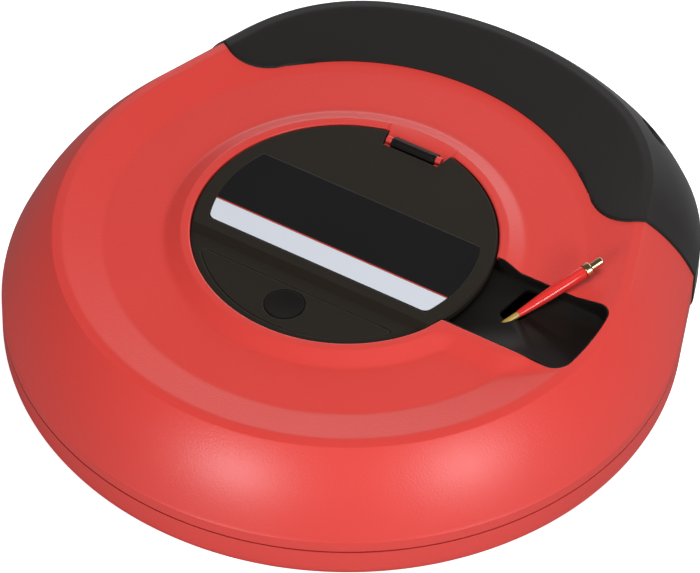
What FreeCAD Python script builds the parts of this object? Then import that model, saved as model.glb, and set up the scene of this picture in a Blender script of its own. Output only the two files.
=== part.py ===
"""Fish tape reel: a closed round case with a side grip, a hinged accessory lid and a fibreglass rod
coiled on a drum inside.

Frame: millimetres, +Z up, +Y towards the grip, +X towards the rod's exit pocket.
The origin is the centre of the underside of the case.
"""
import FreeCAD, Part
import math
import os

import Sketcher

doc = FreeCAD.newDocument("fish_tape_reel")

# ------------------------------------------------------------------ driving sizes
SIZES = {
    # case
    "case_height": 65.0,
    "seam_height": 20.1,
    "wall": 3.0,
    "crest_radius": 140.0,
    "grip_crest_radius": 163.5,
    "grip_blend_radius": 90.0,
    "grip_blend_angle": 20.0,
    "flank_reach": 25.0,
    "flank_radius": 72.25,
    "flank_centre_offset": -46.2,
    "flank_centre_height": 8.7,
    "crest_band": 4.7,
    "crest_fall": 0.6,
    "base_round": 9.0,
    "seam_chamfer": 0.5,
    # top face of the case
    "plateau_radius": 78.5,
    "plateau_foot_radius": 86.7,
    "valley_radius": 116.0,
    "valley_depth": 4.05,
    "bridge_edge": 40.2,
    "bridge_corner": 107.5,
    "bridge_turn": 28.0,
    "bridge_slope": 7.5,
    # grip cover
    "grip_proud": 1.2,
    "grip_inlay": 1.5,
    "grip_inner_radius": 121.5,
    "grip_half_angle": 55.5,
    "grip_corner_radius": 13.0,
    "strap_eye_length": 17.0,
    "strap_eye_width": 8.0,
    "strap_eye_height": 49.5,
    "strap_eye_angle": 30.0,
    # lid and its hinge
    "lid_radius": 73.5,
    "lid_gap": 0.5,
    "lid_thickness": 4.0,
    "lid_edge_chamfer": 1.0,
    "rim_chamfer": 0.8,
    "hinge_offset": 66.0,
    "hinge_drop": 0.8,
    "hinge_radius": 2.0,
    "hinge_gap": 0.4,
    "hinge_dip_half": 17.5,
    "hinge_dip_depth": 2.2,
    "hinge_pin_radius": 1.0,
    "knuckle_half": 10.2,
    "lug_inner": 10.6,
    "lug_outer": 15.0,
    "notch_half": 15.5,
    "notch_start": 61.2,
    "label_radius": 65.5,
    "label_low": -26.5,
    "label_high": 25.0,
    "label_thickness": 0.6,
    "recess_depth": 1.8,
    "recess_start": -37.0,
    "recess_floor_start": -43.5,
    "recess_radius": 65.4,
    "recess_rim": 69.5,
    # button and latch
    "button_offset": -55.4,
    "button_radius": 9.5,
    "button_travel": 2.5,
    "bolt_low": 56.0,
    "bolt_thickness": 2.8,
    "housing_low": 45.5,
    # accessory tray and exit pocket
    "bowl_radius": 66.5,
    "tray_wall": 2.0,
    "bowl_floor": 30.0,
    "tray_rim": 60.8,
    "flange_radius": 77.5,
    "pocket_low": -26.5,
    "pocket_high": 23.8,
    "pocket_radius": 135.6,
    "pocket_corner": 9.0,
    "pocket_floor": 57.0,
    "pocket_gap": 0.2,
    "slot_width": 8.0,
    "slot_length": 16.5,
    "ear_radius": 98.0,
    "ear_height": 50.0,
    # rod line
    "exit_x": 91.3,
    "exit_y": -3.8,
    "exit_z": 55.5,
    "exit_turn": 62.6,
    "exit_rise": 14.6,
    "rod_radius": 1.5,
    "leader_tail": 100.0,
    "leader_end": 47.0,
    "sleeve_start": 7.0,
    "sleeve_end": 45.5,
    "collar_radius": 3.3,
    "stub_radius": 2.0,
    # drum and coil
    "post_radius": 10.0,
    "post_top": 15.4,
    "hub_radius": 17.0,
    "bush_radius": 13.0,
    "drum_low": 5.0,
    "drum_floor": 2.0,
    "drum_rim_radius": 149.0,
    "drum_rim_top": 24.0,
    "coil_inner_radius": 117.2,
    "coil_pitch": 3.2,
    "coil_low": 8.7,
    "coil_columns": 9.0,
    "coil_turns": 4.0,
    # fasteners
    "screw_radius": 1.5,
    "screw_head_radius": 2.9,
    "boss_radius": 4.0,
    "boss_offset": 17.5,
}

sheet = doc.addObject("Spreadsheet::Sheet", "Sizes")
for row, (alias, value) in enumerate(SIZES.items(), start=1):
    sheet.set("A%d" % row, alias)
    sheet.set("B%d" % row, repr(value))
    sheet.setAlias("B%d" % row, alias)
doc.recompute()


class Size:
    """A length that keeps both its number and the spreadsheet expression it comes from."""

    def __init__(self, value, text=None):
        self.value = float(value)
        self.text = text if text is not None else repr(float(value))

    @staticmethod
    def of(other):
        return other if isinstance(other, Size) else Size(other)

    def join(self, other, sign, value):
        other = Size.of(other)
        return Size(value(self.value, other.value), "(%s %s %s)" % (self.text, sign, other.text))

    def __add__(self, other):
        return self.join(other, "+", lambda a, b: a + b)

    def __radd__(self, other):
        return Size.of(other) + self

    def __sub__(self, other):
        return self.join(other, "-", lambda a, b: a - b)

    def __rsub__(self, other):
        return Size.of(other) - self

    def __mul__(self, other):
        return self.join(other, "*", lambda a, b: a * b)

    def __rmul__(self, other):
        return Size.of(other) * self

    def __truediv__(self, other):
        return self.join(other, "/", lambda a, b: a / b)

    def __neg__(self):
        return Size(-self.value, "(-1 * %s)" % self.text)


class Sheet:
    """Every alias of the sheet as a Size."""

    def __getattr__(self, alias):
        return Size(sheet.get(alias), "Sizes." + alias)


size = Sheet()


def polar(radius, degrees):
    """Plan position at a radius and an angle from +X, as two Sizes."""
    radius = Size.of(radius)
    turn = math.radians(degrees)
    east = Size(radius.value * math.cos(turn), "%s * cos(%g deg)" % (radius.text, degrees))
    north = Size(radius.value * math.sin(turn), "%s * sin(%g deg)" % (radius.text, degrees))
    return east, north


# ------------------------------------------------------------------ building helpers
X_AXIS = FreeCAD.Vector(1, 0, 0)
Y_AXIS = FreeCAD.Vector(0, 1, 0)
Z_AXIS = FreeCAD.Vector(0, 0, 1)
LEVEL = FreeCAD.Rotation()
ALONG_X = FreeCAD.Rotation(Y_AXIS, 90)

PARTS = []


def bind(obj, prop, amount):
    amount = Size.of(amount)
    obj.setExpression(prop, amount.text)


def put(obj, at, rotation=LEVEL):
    obj.Placement = FreeCAD.Placement(FreeCAD.Vector(*[Size.of(p).value for p in at]), rotation)
    for axis, amount in zip("xyz", at):
        if isinstance(amount, Size):
            bind(obj, "Placement.Base." + axis, amount)
    return obj


def cylinder(radius, height, at=(0, 0, 0), rotation=LEVEL):
    obj = doc.addObject("Part::Cylinder", "Cylinder")
    bind(obj, "Radius", radius)
    bind(obj, "Height", height)
    return put(obj, at, rotation)


def cone(low_radius, high_radius, height, at=(0, 0, 0)):
    obj = doc.addObject("Part::Cone", "Cone")
    bind(obj, "Radius1", low_radius)
    bind(obj, "Radius2", high_radius)
    bind(obj, "Height", height)
    return put(obj, at)


def block(low, high):
    """Box between two opposite corners."""
    obj = doc.addObject("Part::Box", "Box")
    for prop, a, b in zip(("Length", "Width", "Height"), low, high):
        bind(obj, prop, Size.of(b) - a)
    return put(obj, low)


def shape(solid, name="Shape"):
    """Own-code shape as a document object."""
    obj = doc.addObject("Part::Feature", name)
    obj.Shape = solid
    return obj


def fuse(*pieces):
    obj = doc.addObject("Part::MultiFuse", "Fuse")
    obj.Shapes = list(pieces)
    return obj


def cut(base, *tools):
    obj = doc.addObject("Part::Cut", "Cut")
    obj.Base = base
    obj.Tool = tools[0] if len(tools) == 1 else fuse(*tools)
    return obj


def common(base, tool):
    obj = doc.addObject("Part::Common", "Common")
    obj.Base = base
    obj.Tool = tool
    return obj


def keep(obj, label):
    """Name a finished sub-part."""
    obj.Label = label
    PARTS.append(obj)
    return obj


def body(label):
    return keep(doc.addObject("PartDesign::Body", label), label)


def plane(owner, role):
    return next(item for item in owner.Origin.OriginFeatures if item.Role == role)


def sketch_on(owner, role, name, lift=0):
    sketch = owner.newObject("Sketcher::SketchObject", name)
    sketch.AttachmentSupport = [(plane(owner, role), "")]
    sketch.MapMode = "FlatFace"
    lift = Size.of(lift)
    sketch.AttachmentOffset = FreeCAD.Placement(FreeCAD.Vector(0, 0, lift.value), LEVEL)
    bind(sketch, "AttachmentOffset.Base.z", lift)
    return sketch


def pin_point(sketch, geometry, point, prop, amount):
    """Fix one coordinate of a sketch point to a size."""
    amount = Size.of(amount)
    index = sketch.addConstraint(Sketcher.Constraint(prop, -1, 1, geometry, point, amount.value))
    sketch.setExpression("Constraints[%d]" % index, amount.text)


def draw_polygon(sketch, points):
    points = [(Size.of(a), Size.of(b)) for a, b in points]
    corners = [FreeCAD.Vector(a.value, b.value, 0) for a, b in points]
    lines = [sketch.addGeometry(Part.LineSegment(p, q))
             for p, q in zip(corners, corners[1:] + corners[:1])]
    for line, following in zip(lines, lines[1:] + lines[:1]):
        sketch.addConstraint(Sketcher.Constraint("Coincident", line, 2, following, 1))
    for line, (a, b) in zip(lines, points):
        pin_point(sketch, line, 1, "DistanceX", a)
        pin_point(sketch, line, 1, "DistanceY", b)


def draw_circle(sketch, radius, east=0, north=0):
    radius, east, north = Size.of(radius), Size.of(east), Size.of(north)
    centre = FreeCAD.Vector(east.value, north.value, 0)
    circle = sketch.addGeometry(Part.Circle(centre, Z_AXIS, radius.value))
    pin_point(sketch, circle, 3, "DistanceX", east)
    pin_point(sketch, circle, 3, "DistanceY", north)
    index = sketch.addConstraint(Sketcher.Constraint("Radius", circle, radius.value))
    sketch.setExpression("Constraints[%d]" % index, radius.text)


def revolve(owner, points):
    """Turn an outline of (radius, height) points about the body's Z axis."""
    sketch = sketch_on(owner, "XZ_Plane", "Profile")
    draw_polygon(sketch, points)
    feature = owner.newObject("PartDesign::Revolution", "Turned")
    feature.Profile = sketch
    feature.ReferenceAxis = (sketch, ["V_Axis"])
    feature.Angle = 360
    doc.recompute()
    return feature


def turned(label, points, at=(0, 0, 0), rotation=LEVEL):
    owner = body(label)
    revolve(owner, points)
    return put(owner, at, rotation)


def vector(east, north, height=0.0):
    return FreeCAD.Vector(east, north, height)


def on_circle(radius, degrees, height=0.0, centre=(0.0, 0.0)):
    turn = math.radians(degrees)
    return vector(centre[0] + radius * math.cos(turn), centre[1] + radius * math.sin(turn), height)


def arc(radius, start, end, height=0.0, centre=(0.0, 0.0)):
    middle = (start + end) / 2
    return Part.Arc(on_circle(radius, start, height, centre), on_circle(radius, middle, height, centre),
                    on_circle(radius, end, height, centre)).toShape()


def prism(wire, height):
    return Part.Face(wire).extrude(vector(0, 0, height))


# ------------------------------------------------------------------ case outline
CREST = size.crest_radius.value
GRIP_CREST = size.grip_crest_radius.value
BLEND = size.grip_blend_radius.value
BLEND_START = size.grip_blend_angle.value
BLEND_REACH = GRIP_CREST - BLEND
BLEND_END = BLEND_START + math.degrees(math.acos((CREST - BLEND) / BLEND_REACH))
TOP = size.case_height.value
SEAM = size.seam_height.value
WALL = size.wall.value
VALLEY = size.valley_depth.value


def outline_runs():
    """The plan outline at crest level as (kind, centre, radius, start angle, end angle)."""
    right = (BLEND_REACH * math.cos(math.radians(BLEND_END)), BLEND_REACH * math.sin(math.radians(BLEND_END)))
    left = (-right[0], right[1])
    return [
        ("arc", (0.0, 0.0), CREST, -180 - BLEND_START, BLEND_START),
        ("line", ((0.0, 0.0), right), (CREST, BLEND), BLEND_START, BLEND_START),
        ("arc", right, BLEND, BLEND_START, BLEND_END),
        ("arc", (0.0, 0.0), GRIP_CREST, BLEND_END, 180 - BLEND_END),
        ("arc", left, BLEND, 180 - BLEND_END, 180 - BLEND_START),
        ("line", (left, (0.0, 0.0)), (BLEND, CREST), 180 - BLEND_START, 180 - BLEND_START),
    ]


def outline_wire(offset, height):
    edges = []
    for kind, centre, radius, start, end in outline_runs():
        if kind == "arc":
            edges.append(arc(radius + offset, start, end, height, centre))
        else:
            first = on_circle(radius[0] + offset, start, height, centre[0])
            last = on_circle(radius[1] + offset, end, height, centre[1])
            edges.append(Part.makeLine(first, last))
    return Part.Wire(edges)


def split_circle(radius, height):
    """Circle cut at the same bearings as the outline, so that a loft between them stays true."""
    corners = [on_circle(CREST, BLEND_START), outline_wire(0, 0).Edges[2].Vertexes[0].Point]
    blend_bearing = math.degrees(math.atan2(corners[1].y, corners[1].x))
    bearings = [-180 - BLEND_START, BLEND_START, blend_bearing, BLEND_END, 180 - BLEND_END,
                180 - blend_bearing, 180 - BLEND_START]
    return Part.Wire([arc(radius, a, b, height) for a, b in zip(bearings, bearings[1:])])


def profile_face(path, place):
    """Face from a profile path of (offset, height) points; a triple of points is an arc."""
    edges = []
    for step in path:
        points = [place(*point) for point in step]
        if len(points) == 2:
            edges.append(Part.makeLine(*points))
        else:
            edges.append(Part.Arc(*points).toShape())
    return Part.Face(Part.Wire(edges))


def follow_outline(path):
    """Carry a profile around the whole outline: turned on its arcs, pulled along its straights."""
    solids = []
    for kind, centre, radius, start, end in outline_runs():
        if kind == "arc":
            face = profile_face(path, lambda o, z: on_circle(radius + o, start, z, centre))
            solids.append(face.revolve(vector(*centre), Z_AXIS, end - start))
        else:
            face = profile_face(path, lambda o, z: on_circle(radius[0] + o, start, z, centre[0]))
            run = on_circle(radius[1], end, 0, centre[1]) - on_circle(radius[0], start, 0, centre[0])
            solids.append(face.extrude(run))
    return solids[0].fuse(solids[1:]).removeSplitter()


CORE_OFFSET = -30.0
CORE_LAP = 1.0


def flank_points(inset):
    """The flank arc of the upper half, from the vertical wall up to the crest, moved in by inset."""
    reach = size.flank_reach.value - inset
    radius = size.flank_radius.value - inset
    middle = size.flank_centre_offset.value
    height = size.flank_centre_height.value
    low = (reach, height + math.sqrt(radius ** 2 - (reach - middle) ** 2))
    crest = TOP - inset - size.crest_fall.value
    high = (middle + math.sqrt(radius ** 2 - (crest - height) ** 2), crest)
    bearings = [math.atan2(z - height, o - middle) for o, z in (low, high)]
    turn = sum(bearings) / 2
    between = (middle + radius * math.cos(turn), height + radius * math.sin(turn))
    return low, between, high


def upper_mass(inset):
    """Everything inside the outer skin of the upper half, moved in by inset."""
    low, between, high = flank_points(inset)
    chamfer = size.seam_chamfer.value if inset <= 0 else 0.0
    reach = size.flank_reach.value - inset
    top = TOP - inset
    corner = (-size.crest_band.value, top)
    path = [((CORE_OFFSET, SEAM), (reach - chamfer, SEAM))]
    if chamfer:
        path.append(((reach - chamfer, SEAM), (reach, SEAM + chamfer)))
    path += [
        ((reach, SEAM + chamfer), low),
        (low, between, high),
        (high, corner),
        (corner, (CORE_OFFSET, top)),
        ((CORE_OFFSET, top), (CORE_OFFSET, SEAM)),
    ]
    core = prism(outline_wire(CORE_OFFSET + CORE_LAP, SEAM), top - SEAM)
    solid = follow_outline(path).fuse(core).removeSplitter()
    return solid.cut(valley(inset))


def lower_mass(inset):
    """Everything inside the outer skin of the lower half, moved in by inset."""
    chamfer = size.seam_chamfer.value if inset <= 0 else 0.0
    reach = size.flank_reach.value - inset
    turn = size.base_round.value
    middle = size.flank_reach.value - turn
    radius = turn - inset
    slant = math.sqrt(0.5)
    path = [
        ((CORE_OFFSET, inset), (middle, inset)),
        ((middle, inset), (middle + radius * slant, turn - radius * slant), (reach, turn)),
        ((reach, turn), (reach, SEAM - chamfer)),
    ]
    if chamfer:
        path.append(((reach, SEAM - chamfer), (reach - chamfer, SEAM)))
    path += [
        ((reach - chamfer, SEAM), (CORE_OFFSET, SEAM)),
        ((CORE_OFFSET, SEAM), (CORE_OFFSET, inset)),
    ]
    core = prism(outline_wire(CORE_OFFSET + CORE_LAP, inset), SEAM - inset)
    return follow_outline(path).fuse(core).removeSplitter()


def bridge_wire(shrink, height):
    """Outline of the raised bridge that carries the exit pocket from the plateau to the crest."""
    far = 160.0
    turn = math.radians(size.bridge_turn.value)
    edge = -(size.bridge_edge.value - shrink)
    corner = size.bridge_corner.value - shrink * math.tan(turn / 2)
    round_run = 8.0
    first = vector(corner - round_run, edge, height)
    last = vector(corner + round_run * math.cos(turn), edge + round_run * math.sin(turn), height)
    radius = round_run / math.tan(turn / 2)
    middle = vector(first.x + radius * math.sin(turn / 2), edge + radius * (1 - math.cos(turn / 2)), height)
    outer = vector(far, edge + (far - corner) * math.tan(turn), height)
    north = 0.0
    inner = vector(0, edge, height)
    edges = [
        Part.makeLine(inner, first),
        Part.Arc(first, middle, last).toShape(),
        Part.makeLine(last, outer),
        Part.makeLine(outer, vector(far, north, height)),
        Part.makeLine(vector(far, north, height), vector(0, north, height)),
        Part.makeLine(vector(0, north, height), inner),
    ]
    return Part.Wire(edges)


def valley(inset):
    """The sunken ring of the top face, lowered by inset."""
    floor = TOP - inset - VALLEY
    ring = Part.makeLoft([split_circle(size.valley_radius.value, floor),
                          outline_wire(-size.crest_band.value, TOP - inset)], True, True)
    plateau = Part.makeCone(size.plateau_foot_radius.value, size.plateau_radius.value, VALLEY,
                            vector(0, 0, floor))
    bridge = Part.makeLoft([bridge_wire(0, floor), bridge_wire(size.bridge_slope.value, floor + VALLEY)],
                           True, True)
    return ring.cut(plateau).cut(bridge)


# ------------------------------------------------------------------ rod line
EXIT = vector(size.exit_x.value, size.exit_y.value, size.exit_z.value)
EXIT_TURN = math.radians(size.exit_turn.value)
EXIT_RISE = math.radians(size.exit_rise.value)
ROD_WAY = vector(math.cos(EXIT_RISE) * math.cos(EXIT_TURN), math.cos(EXIT_RISE) * math.sin(EXIT_TURN),
                 math.sin(EXIT_RISE))
ROD_TURN = FreeCAD.Rotation(Z_AXIS, ROD_WAY)


def on_rod(distance):
    """Point on the rod line, this far beyond the exit point."""
    return EXIT + ROD_WAY * distance


def rod_cylinder(radius, start, end):
    return Part.makeCylinder(radius, end - start, on_rod(start), ROD_WAY)


# ------------------------------------------------------------------ pocket outline
def pocket_wire(gap, height):
    """Plan outline of the exit pocket, moved in by gap, from under the lid out to the crest."""
    outer = size.pocket_radius.value - gap
    low = size.pocket_low.value + gap
    high = size.pocket_high.value - gap
    start = 60.0
    round_off = size.pocket_corner.value - gap

    def corner(edge, side):
        centre_north = edge - side * round_off
        reach = outer - round_off
        east = math.sqrt(reach ** 2 - centre_north ** 2)
        bearing = math.degrees(math.atan2(centre_north, east))
        return (east, centre_north), bearing

    low_centre, low_bearing = corner(low, -1)
    high_centre, high_bearing = corner(high, 1)
    edges = [
        Part.makeLine(vector(start, low, height), vector(low_centre[0], low, height)),
        arc(round_off, -90, low_bearing, height, low_centre),
        arc(outer, low_bearing, high_bearing, height),
        arc(round_off, high_bearing, 90, height, high_centre),
        Part.makeLine(vector(high_centre[0], high, height), vector(start, high, height)),
        Part.makeLine(vector(start, high, height), vector(start, low, height)),
    ]
    return Part.Wire(edges)


# ------------------------------------------------------------------ grip cover region
def grip_wire():
    """Plan outline of the grip cover: a sector on the +Y side with rounded inner corners."""
    inner = size.grip_inner_radius.value
    half = size.grip_half_angle.value
    turn = size.grip_corner_radius.value
    far = 230.0
    reach = inner + turn
    lean = math.degrees(math.asin(turn / reach))
    edges = []
    for side in (1, -1):
        end = 90 - side * half
        centre = on_circle(reach, end + side * lean)
        along = math.sqrt(reach ** 2 - turn ** 2)
        start = on_circle(along, end)
        middle_turn = math.radians(end + side * (lean / 2 - 135))
        finish = on_circle(inner, end + side * lean)
        middle = vector(centre.x + turn * math.cos(middle_turn), centre.y + turn * math.sin(middle_turn))
        edges.append(Part.makeLine(on_circle(far, end), start))
        edges.append(Part.Arc(start, middle, finish).toShape())
    edges.append(arc(inner, 90 - half + lean, 90 + half - lean))
    edges.append(Part.makeLine(on_circle(far, 90 - half), vector(0, far * 1.5)))
    edges.append(Part.makeLine(vector(0, far * 1.5), on_circle(far, 90 + half)))
    return Part.Wire(Part.__sortEdges__(edges))


EYE_CUTTER_LENGTH = 40.0
EYE_CUTTER_START = GRIP_CREST - 6.0


def strap_eye(side):
    """Stadium cutter for one strap eye, pointing out through the flank."""
    half = size.strap_eye_width.value / 2
    run = (size.strap_eye_length.value - 2 * half) / 2
    rounds = [Part.makeCylinder(half, EYE_CUTTER_LENGTH, vector(x, 0, 0), Y_AXIS) for x in (-run, run)]
    bar = Part.makeBox(2 * run, EYE_CUTTER_LENGTH, 2 * half, vector(-run, 0, -half))
    eye = rounds[0].fuse([rounds[1], bar])
    eye.rotate(vector(0, 0, 0), Z_AXIS, -side * size.strap_eye_angle.value)
    start = on_circle(EYE_CUTTER_START, 90 - side * size.strap_eye_angle.value)
    eye.translate(vector(start.x, start.y, size.strap_eye_height.value))
    return eye


grip_prism = prism(grip_wire(), 2 * TOP)
eyes = [strap_eye(1), strap_eye(-1)]

# bosses for the shell screws: six on the round side and two under the grip
BOSS_REACH = CREST + size.boss_offset.value
GRIP_BOSS_REACH = GRIP_CREST + size.boss_offset.value
BOSSES = [(BOSS_REACH, a) for a in (-110, -70, -28, 8, 172, 208)] + [(GRIP_BOSS_REACH, a) for a in (70, 110)]
EARS = (60, 120, 240, 300)
BOSS_HEIGHT = 25.0
POST_HEIGHT = 9.0
PILOT_DEPTH = 15.0
EAR_PILOT_DEPTH = 7.0
CLEARANCE = 0.1
LAP = 1.0
ROD_GROOVE_RADIUS = 3.4
BEYOND = 80.0


def at_bosses(height):
    return [on_circle(reach, bearing, height) for reach, bearing in BOSSES]


def at_ears(height):
    return [on_circle(size.ear_radius.value, bearing, height) for bearing in EARS]


def columns(radius, length, places):
    """Upright cylinders of one size at several places."""
    return [Part.makeCylinder(radius, length, place) for place in places]


# ------------------------------------------------------------------ upper shell
LUG_FRONT = 4.0
LUG_ARM = 10.0


def hinge_axis(east):
    return vector(east, size.hinge_offset.value, TOP - size.hinge_drop.value)


def hinge_lug(side):
    """Lug for one end of the hinge pin, on an arm from the top plate."""
    radius = size.hinge_radius.value
    width = size.lug_outer.value - size.lug_inner.value
    start = hinge_axis(min(side * size.lug_inner.value, side * size.lug_outer.value))
    arm = Part.makeBox(width, LUG_ARM, radius, start - vector(0, 0, radius))
    return Part.makeCylinder(radius, width, start, X_AXIS).fuse(arm)


def hinge_dip():
    """Ramp from the plateau's edge down to the hinge, clear of the lugs' round ends."""
    half = size.hinge_dip_half.value
    front = size.hinge_offset.value - LUG_FRONT
    back = size.plateau_radius.value
    low = TOP - size.hinge_dip_depth.value
    outline = [(front, low), (back, TOP), (back, TOP + BEYOND), (front, TOP + BEYOND)]
    corners = [vector(-half, north, height) for north, height in outline]
    ramp = Part.Face(Part.makePolygon(corners + corners[:1])).extrude(vector(2 * half, 0))
    return ramp.cut(Part.makeCylinder(size.hinge_radius.value, 2 * half, hinge_axis(-half), X_AXIS))


def lid_opening():
    """Round opening for the lid with a chamfered rim, but for the strip that carries the hinge lugs."""
    radius = size.lid_radius.value + size.lid_gap.value
    chamfer = size.rim_chamfer.value
    half = size.lug_outer.value
    hole = Part.makeCylinder(radius, BEYOND, vector(0, 0, size.ear_height.value))
    rim = Part.makeCone(radius, radius + chamfer + LAP, chamfer + LAP, vector(0, 0, TOP - chamfer))
    strip = Part.makeBox(2 * half, BEYOND, BEYOND, vector(-half, size.hinge_offset.value - LUG_FRONT, 0))
    return hole.fuse(rim).cut(strip)


def make_upper_shell():
    outer = upper_mass(0)
    skin = outer.cut(upper_mass(WALL))
    boss = size.boss_radius.value
    post_low = size.ear_height.value
    posts = columns(boss, BOSS_HEIGHT, at_bosses(SEAM)) + columns(boss, POST_HEIGHT, at_ears(post_low))
    ribs = Part.Compound(posts).common(outer)
    skin = skin.fuse(ribs.Solids + [hinge_lug(side) for side in (-1, 1)])
    half = size.lug_inner.value
    room_back = size.hinge_offset.value + size.hinge_radius.value + size.hinge_gap.value
    knuckle_room = Part.makeBox(2 * half, room_back, BEYOND, vector(-half, 0, post_low))
    pocket = prism(pocket_wire(0, post_low), BEYOND)
    bore = Part.makeCylinder(size.hinge_pin_radius.value, BEYOND, hinge_axis(-BEYOND / 2), X_AXIS)
    pilot = size.screw_radius.value
    pilots = columns(pilot, PILOT_DEPTH + LAP, at_bosses(SEAM - LAP))
    pilots += columns(pilot, EAR_PILOT_DEPTH + LAP, at_ears(post_low - LAP))
    groove = rod_cylinder(ROD_GROOVE_RADIUS, 10, BEYOND)
    skin = skin.cut([lid_opening(), knuckle_room, hinge_dip(), pocket, bore, groove] + pilots + eyes)
    return skin.cut(make_grip(upper_mass))


GRIP_LOWER_EDGE = 5.0


def make_grip(mass):
    """Soft cover over one half of the case: proud of the shell and let into it."""
    outer = mass(-size.grip_proud.value)
    inner = mass(size.grip_inlay.value)
    if mass is lower_mass:
        room = prism(outline_wire(BEYOND, GRIP_LOWER_EDGE), TOP)
        outer = outer.common(room)
    return outer.cut(inner).common(grip_prism)


SHELL_HEAD_LOW = 5.0
SHELL_SCREW_LENGTH = 29.0
HEAD_HEIGHT = 2.0
FLOOR_LAP = 1.0
POST_ROOT = (22.0, 16.0, 2.0)
POST_PILOT_LOW = 4.0


def make_lower_shell():
    outer = lower_mass(0)
    skin = outer.cut(lower_mass(WALL))
    low = FLOOR_LAP + LAP
    bosses = columns(size.boss_radius.value + 4 * CLEARANCE, SEAM - low, at_bosses(low))
    post = Part.makeCylinder(size.post_radius.value, size.post_top.value - FLOOR_LAP, vector(0, 0, FLOOR_LAP))
    root = Part.makeCone(*POST_ROOT, vector(0, 0, FLOOR_LAP))
    ribs = Part.Compound(bosses).common(outer)
    skin = skin.fuse(ribs.Solids + [post, root])
    head_depth = SHELL_HEAD_LOW + HEAD_HEIGHT + LAP
    heads = columns(size.screw_head_radius.value + 3 * CLEARANCE, head_depth, at_bosses(-LAP))
    holes = columns(size.screw_radius.value + CLEARANCE, SEAM + 2 * LAP, at_bosses(-LAP))
    pilot = Part.makeCylinder(size.screw_radius.value, SEAM, vector(0, 0, POST_PILOT_LOW))
    skin = skin.cut(heads + holes + [pilot])
    return skin.cut(make_grip(lower_mass))


keep(shape(make_upper_shell(), "UpperShell"), "upper_shell")
keep(shape(make_lower_shell(), "LowerShell"), "lower_shell")
keep(shape(make_grip(upper_mass).cut(eyes), "GripUpper"), "grip_upper")
keep(shape(make_grip(lower_mass), "GripLower"), "grip_lower")

# ------------------------------------------------------------------ shell screws
def screw_outline(length):
    """Pan head screw standing on its head: radius and height from the head's outer face."""
    return [(0, 0), (size.screw_head_radius, 0), (size.screw_head_radius, HEAD_HEIGHT),
            (size.screw_radius, HEAD_HEIGHT), (size.screw_radius, length), (0, length)]


def group(label, make, places):
    """One node that holds an identical solid at every place."""
    copies = []
    for at, rotation in places:
        item = make()
        put(item, at, rotation)
        copies.append(item)
    bundle = doc.addObject("Part::Compound", "Group")
    bundle.Links = copies
    return keep(bundle, label)


def screw(length, head_height=HEAD_HEIGHT, radius=None, head=None):
    """Screw with its head down, as one fused solid."""
    radius = radius or size.screw_radius
    head = head or size.screw_head_radius
    return fuse(cylinder(head, head_height), cylinder(radius, Size.of(length)))


group("shell_screws", lambda: screw(SHELL_SCREW_LENGTH),
      [((*polar(r, a), SHELL_HEAD_LOW), LEVEL) for r, a in BOSSES])

# ------------------------------------------------------------------ accessory tray
FLANGE_THICKNESS = 1.9
BOWL_ROUND = 6.0
EAR_HALF = 7.0
SWING_RADIUS = 6.8
SWING_HALF = 34.0
KEEPER_HALF = 6.3
KEEPER_DEPTH = 1.5
LID_SWEEP = 1.5
PAN_INSET = 0.15
ROD_TUNNEL_RADIUS = 2.1
TIP_TUNNEL_RADIUS = 3.3
TRAY_SCREW_LENGTH = 11.0


def tray_ear(angle):
    """Strap with a round end that carries one of the tray's screws."""
    thick = size.tray_wall.value
    reach = size.ear_radius.value
    start = size.bowl_radius.value
    low = size.ear_height.value - thick
    ear = Part.makeBox(reach - start, 2 * EAR_HALF, thick, vector(start, -EAR_HALF, low))
    ear = ear.fuse(Part.makeCylinder(EAR_HALF, thick, vector(reach, 0, low)))
    ear.rotate(vector(0, 0), Z_AXIS, angle)
    return ear


def lid_swing():
    """Room behind the tray's rim for the back edge of the lid to swing down into."""
    start = hinge_axis(-SWING_HALF)
    below = vector(0, 0, SWING_RADIUS)
    back = Part.makeBox(2 * SWING_HALF, BEYOND, BEYOND, start - below)
    return Part.makeCylinder(SWING_RADIUS, 2 * SWING_HALF, start, X_AXIS).fuse(back)


def bolt_keeper():
    """Hole in the bowl's wall that the latch bolt's nose springs into."""
    reach = size.bowl_radius.value + size.tray_wall.value + KEEPER_DEPTH
    height = size.bolt_thickness.value + 4 * CLEARANCE
    way = Part.makeBox(2 * KEEPER_HALF, BEYOND, height,
                       vector(-KEEPER_HALF, -BEYOND - size.bowl_radius.value + LAP,
                              size.bolt_low.value - 2 * CLEARANCE))
    return Part.makeCylinder(reach, BEYOND).common(way)


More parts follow.
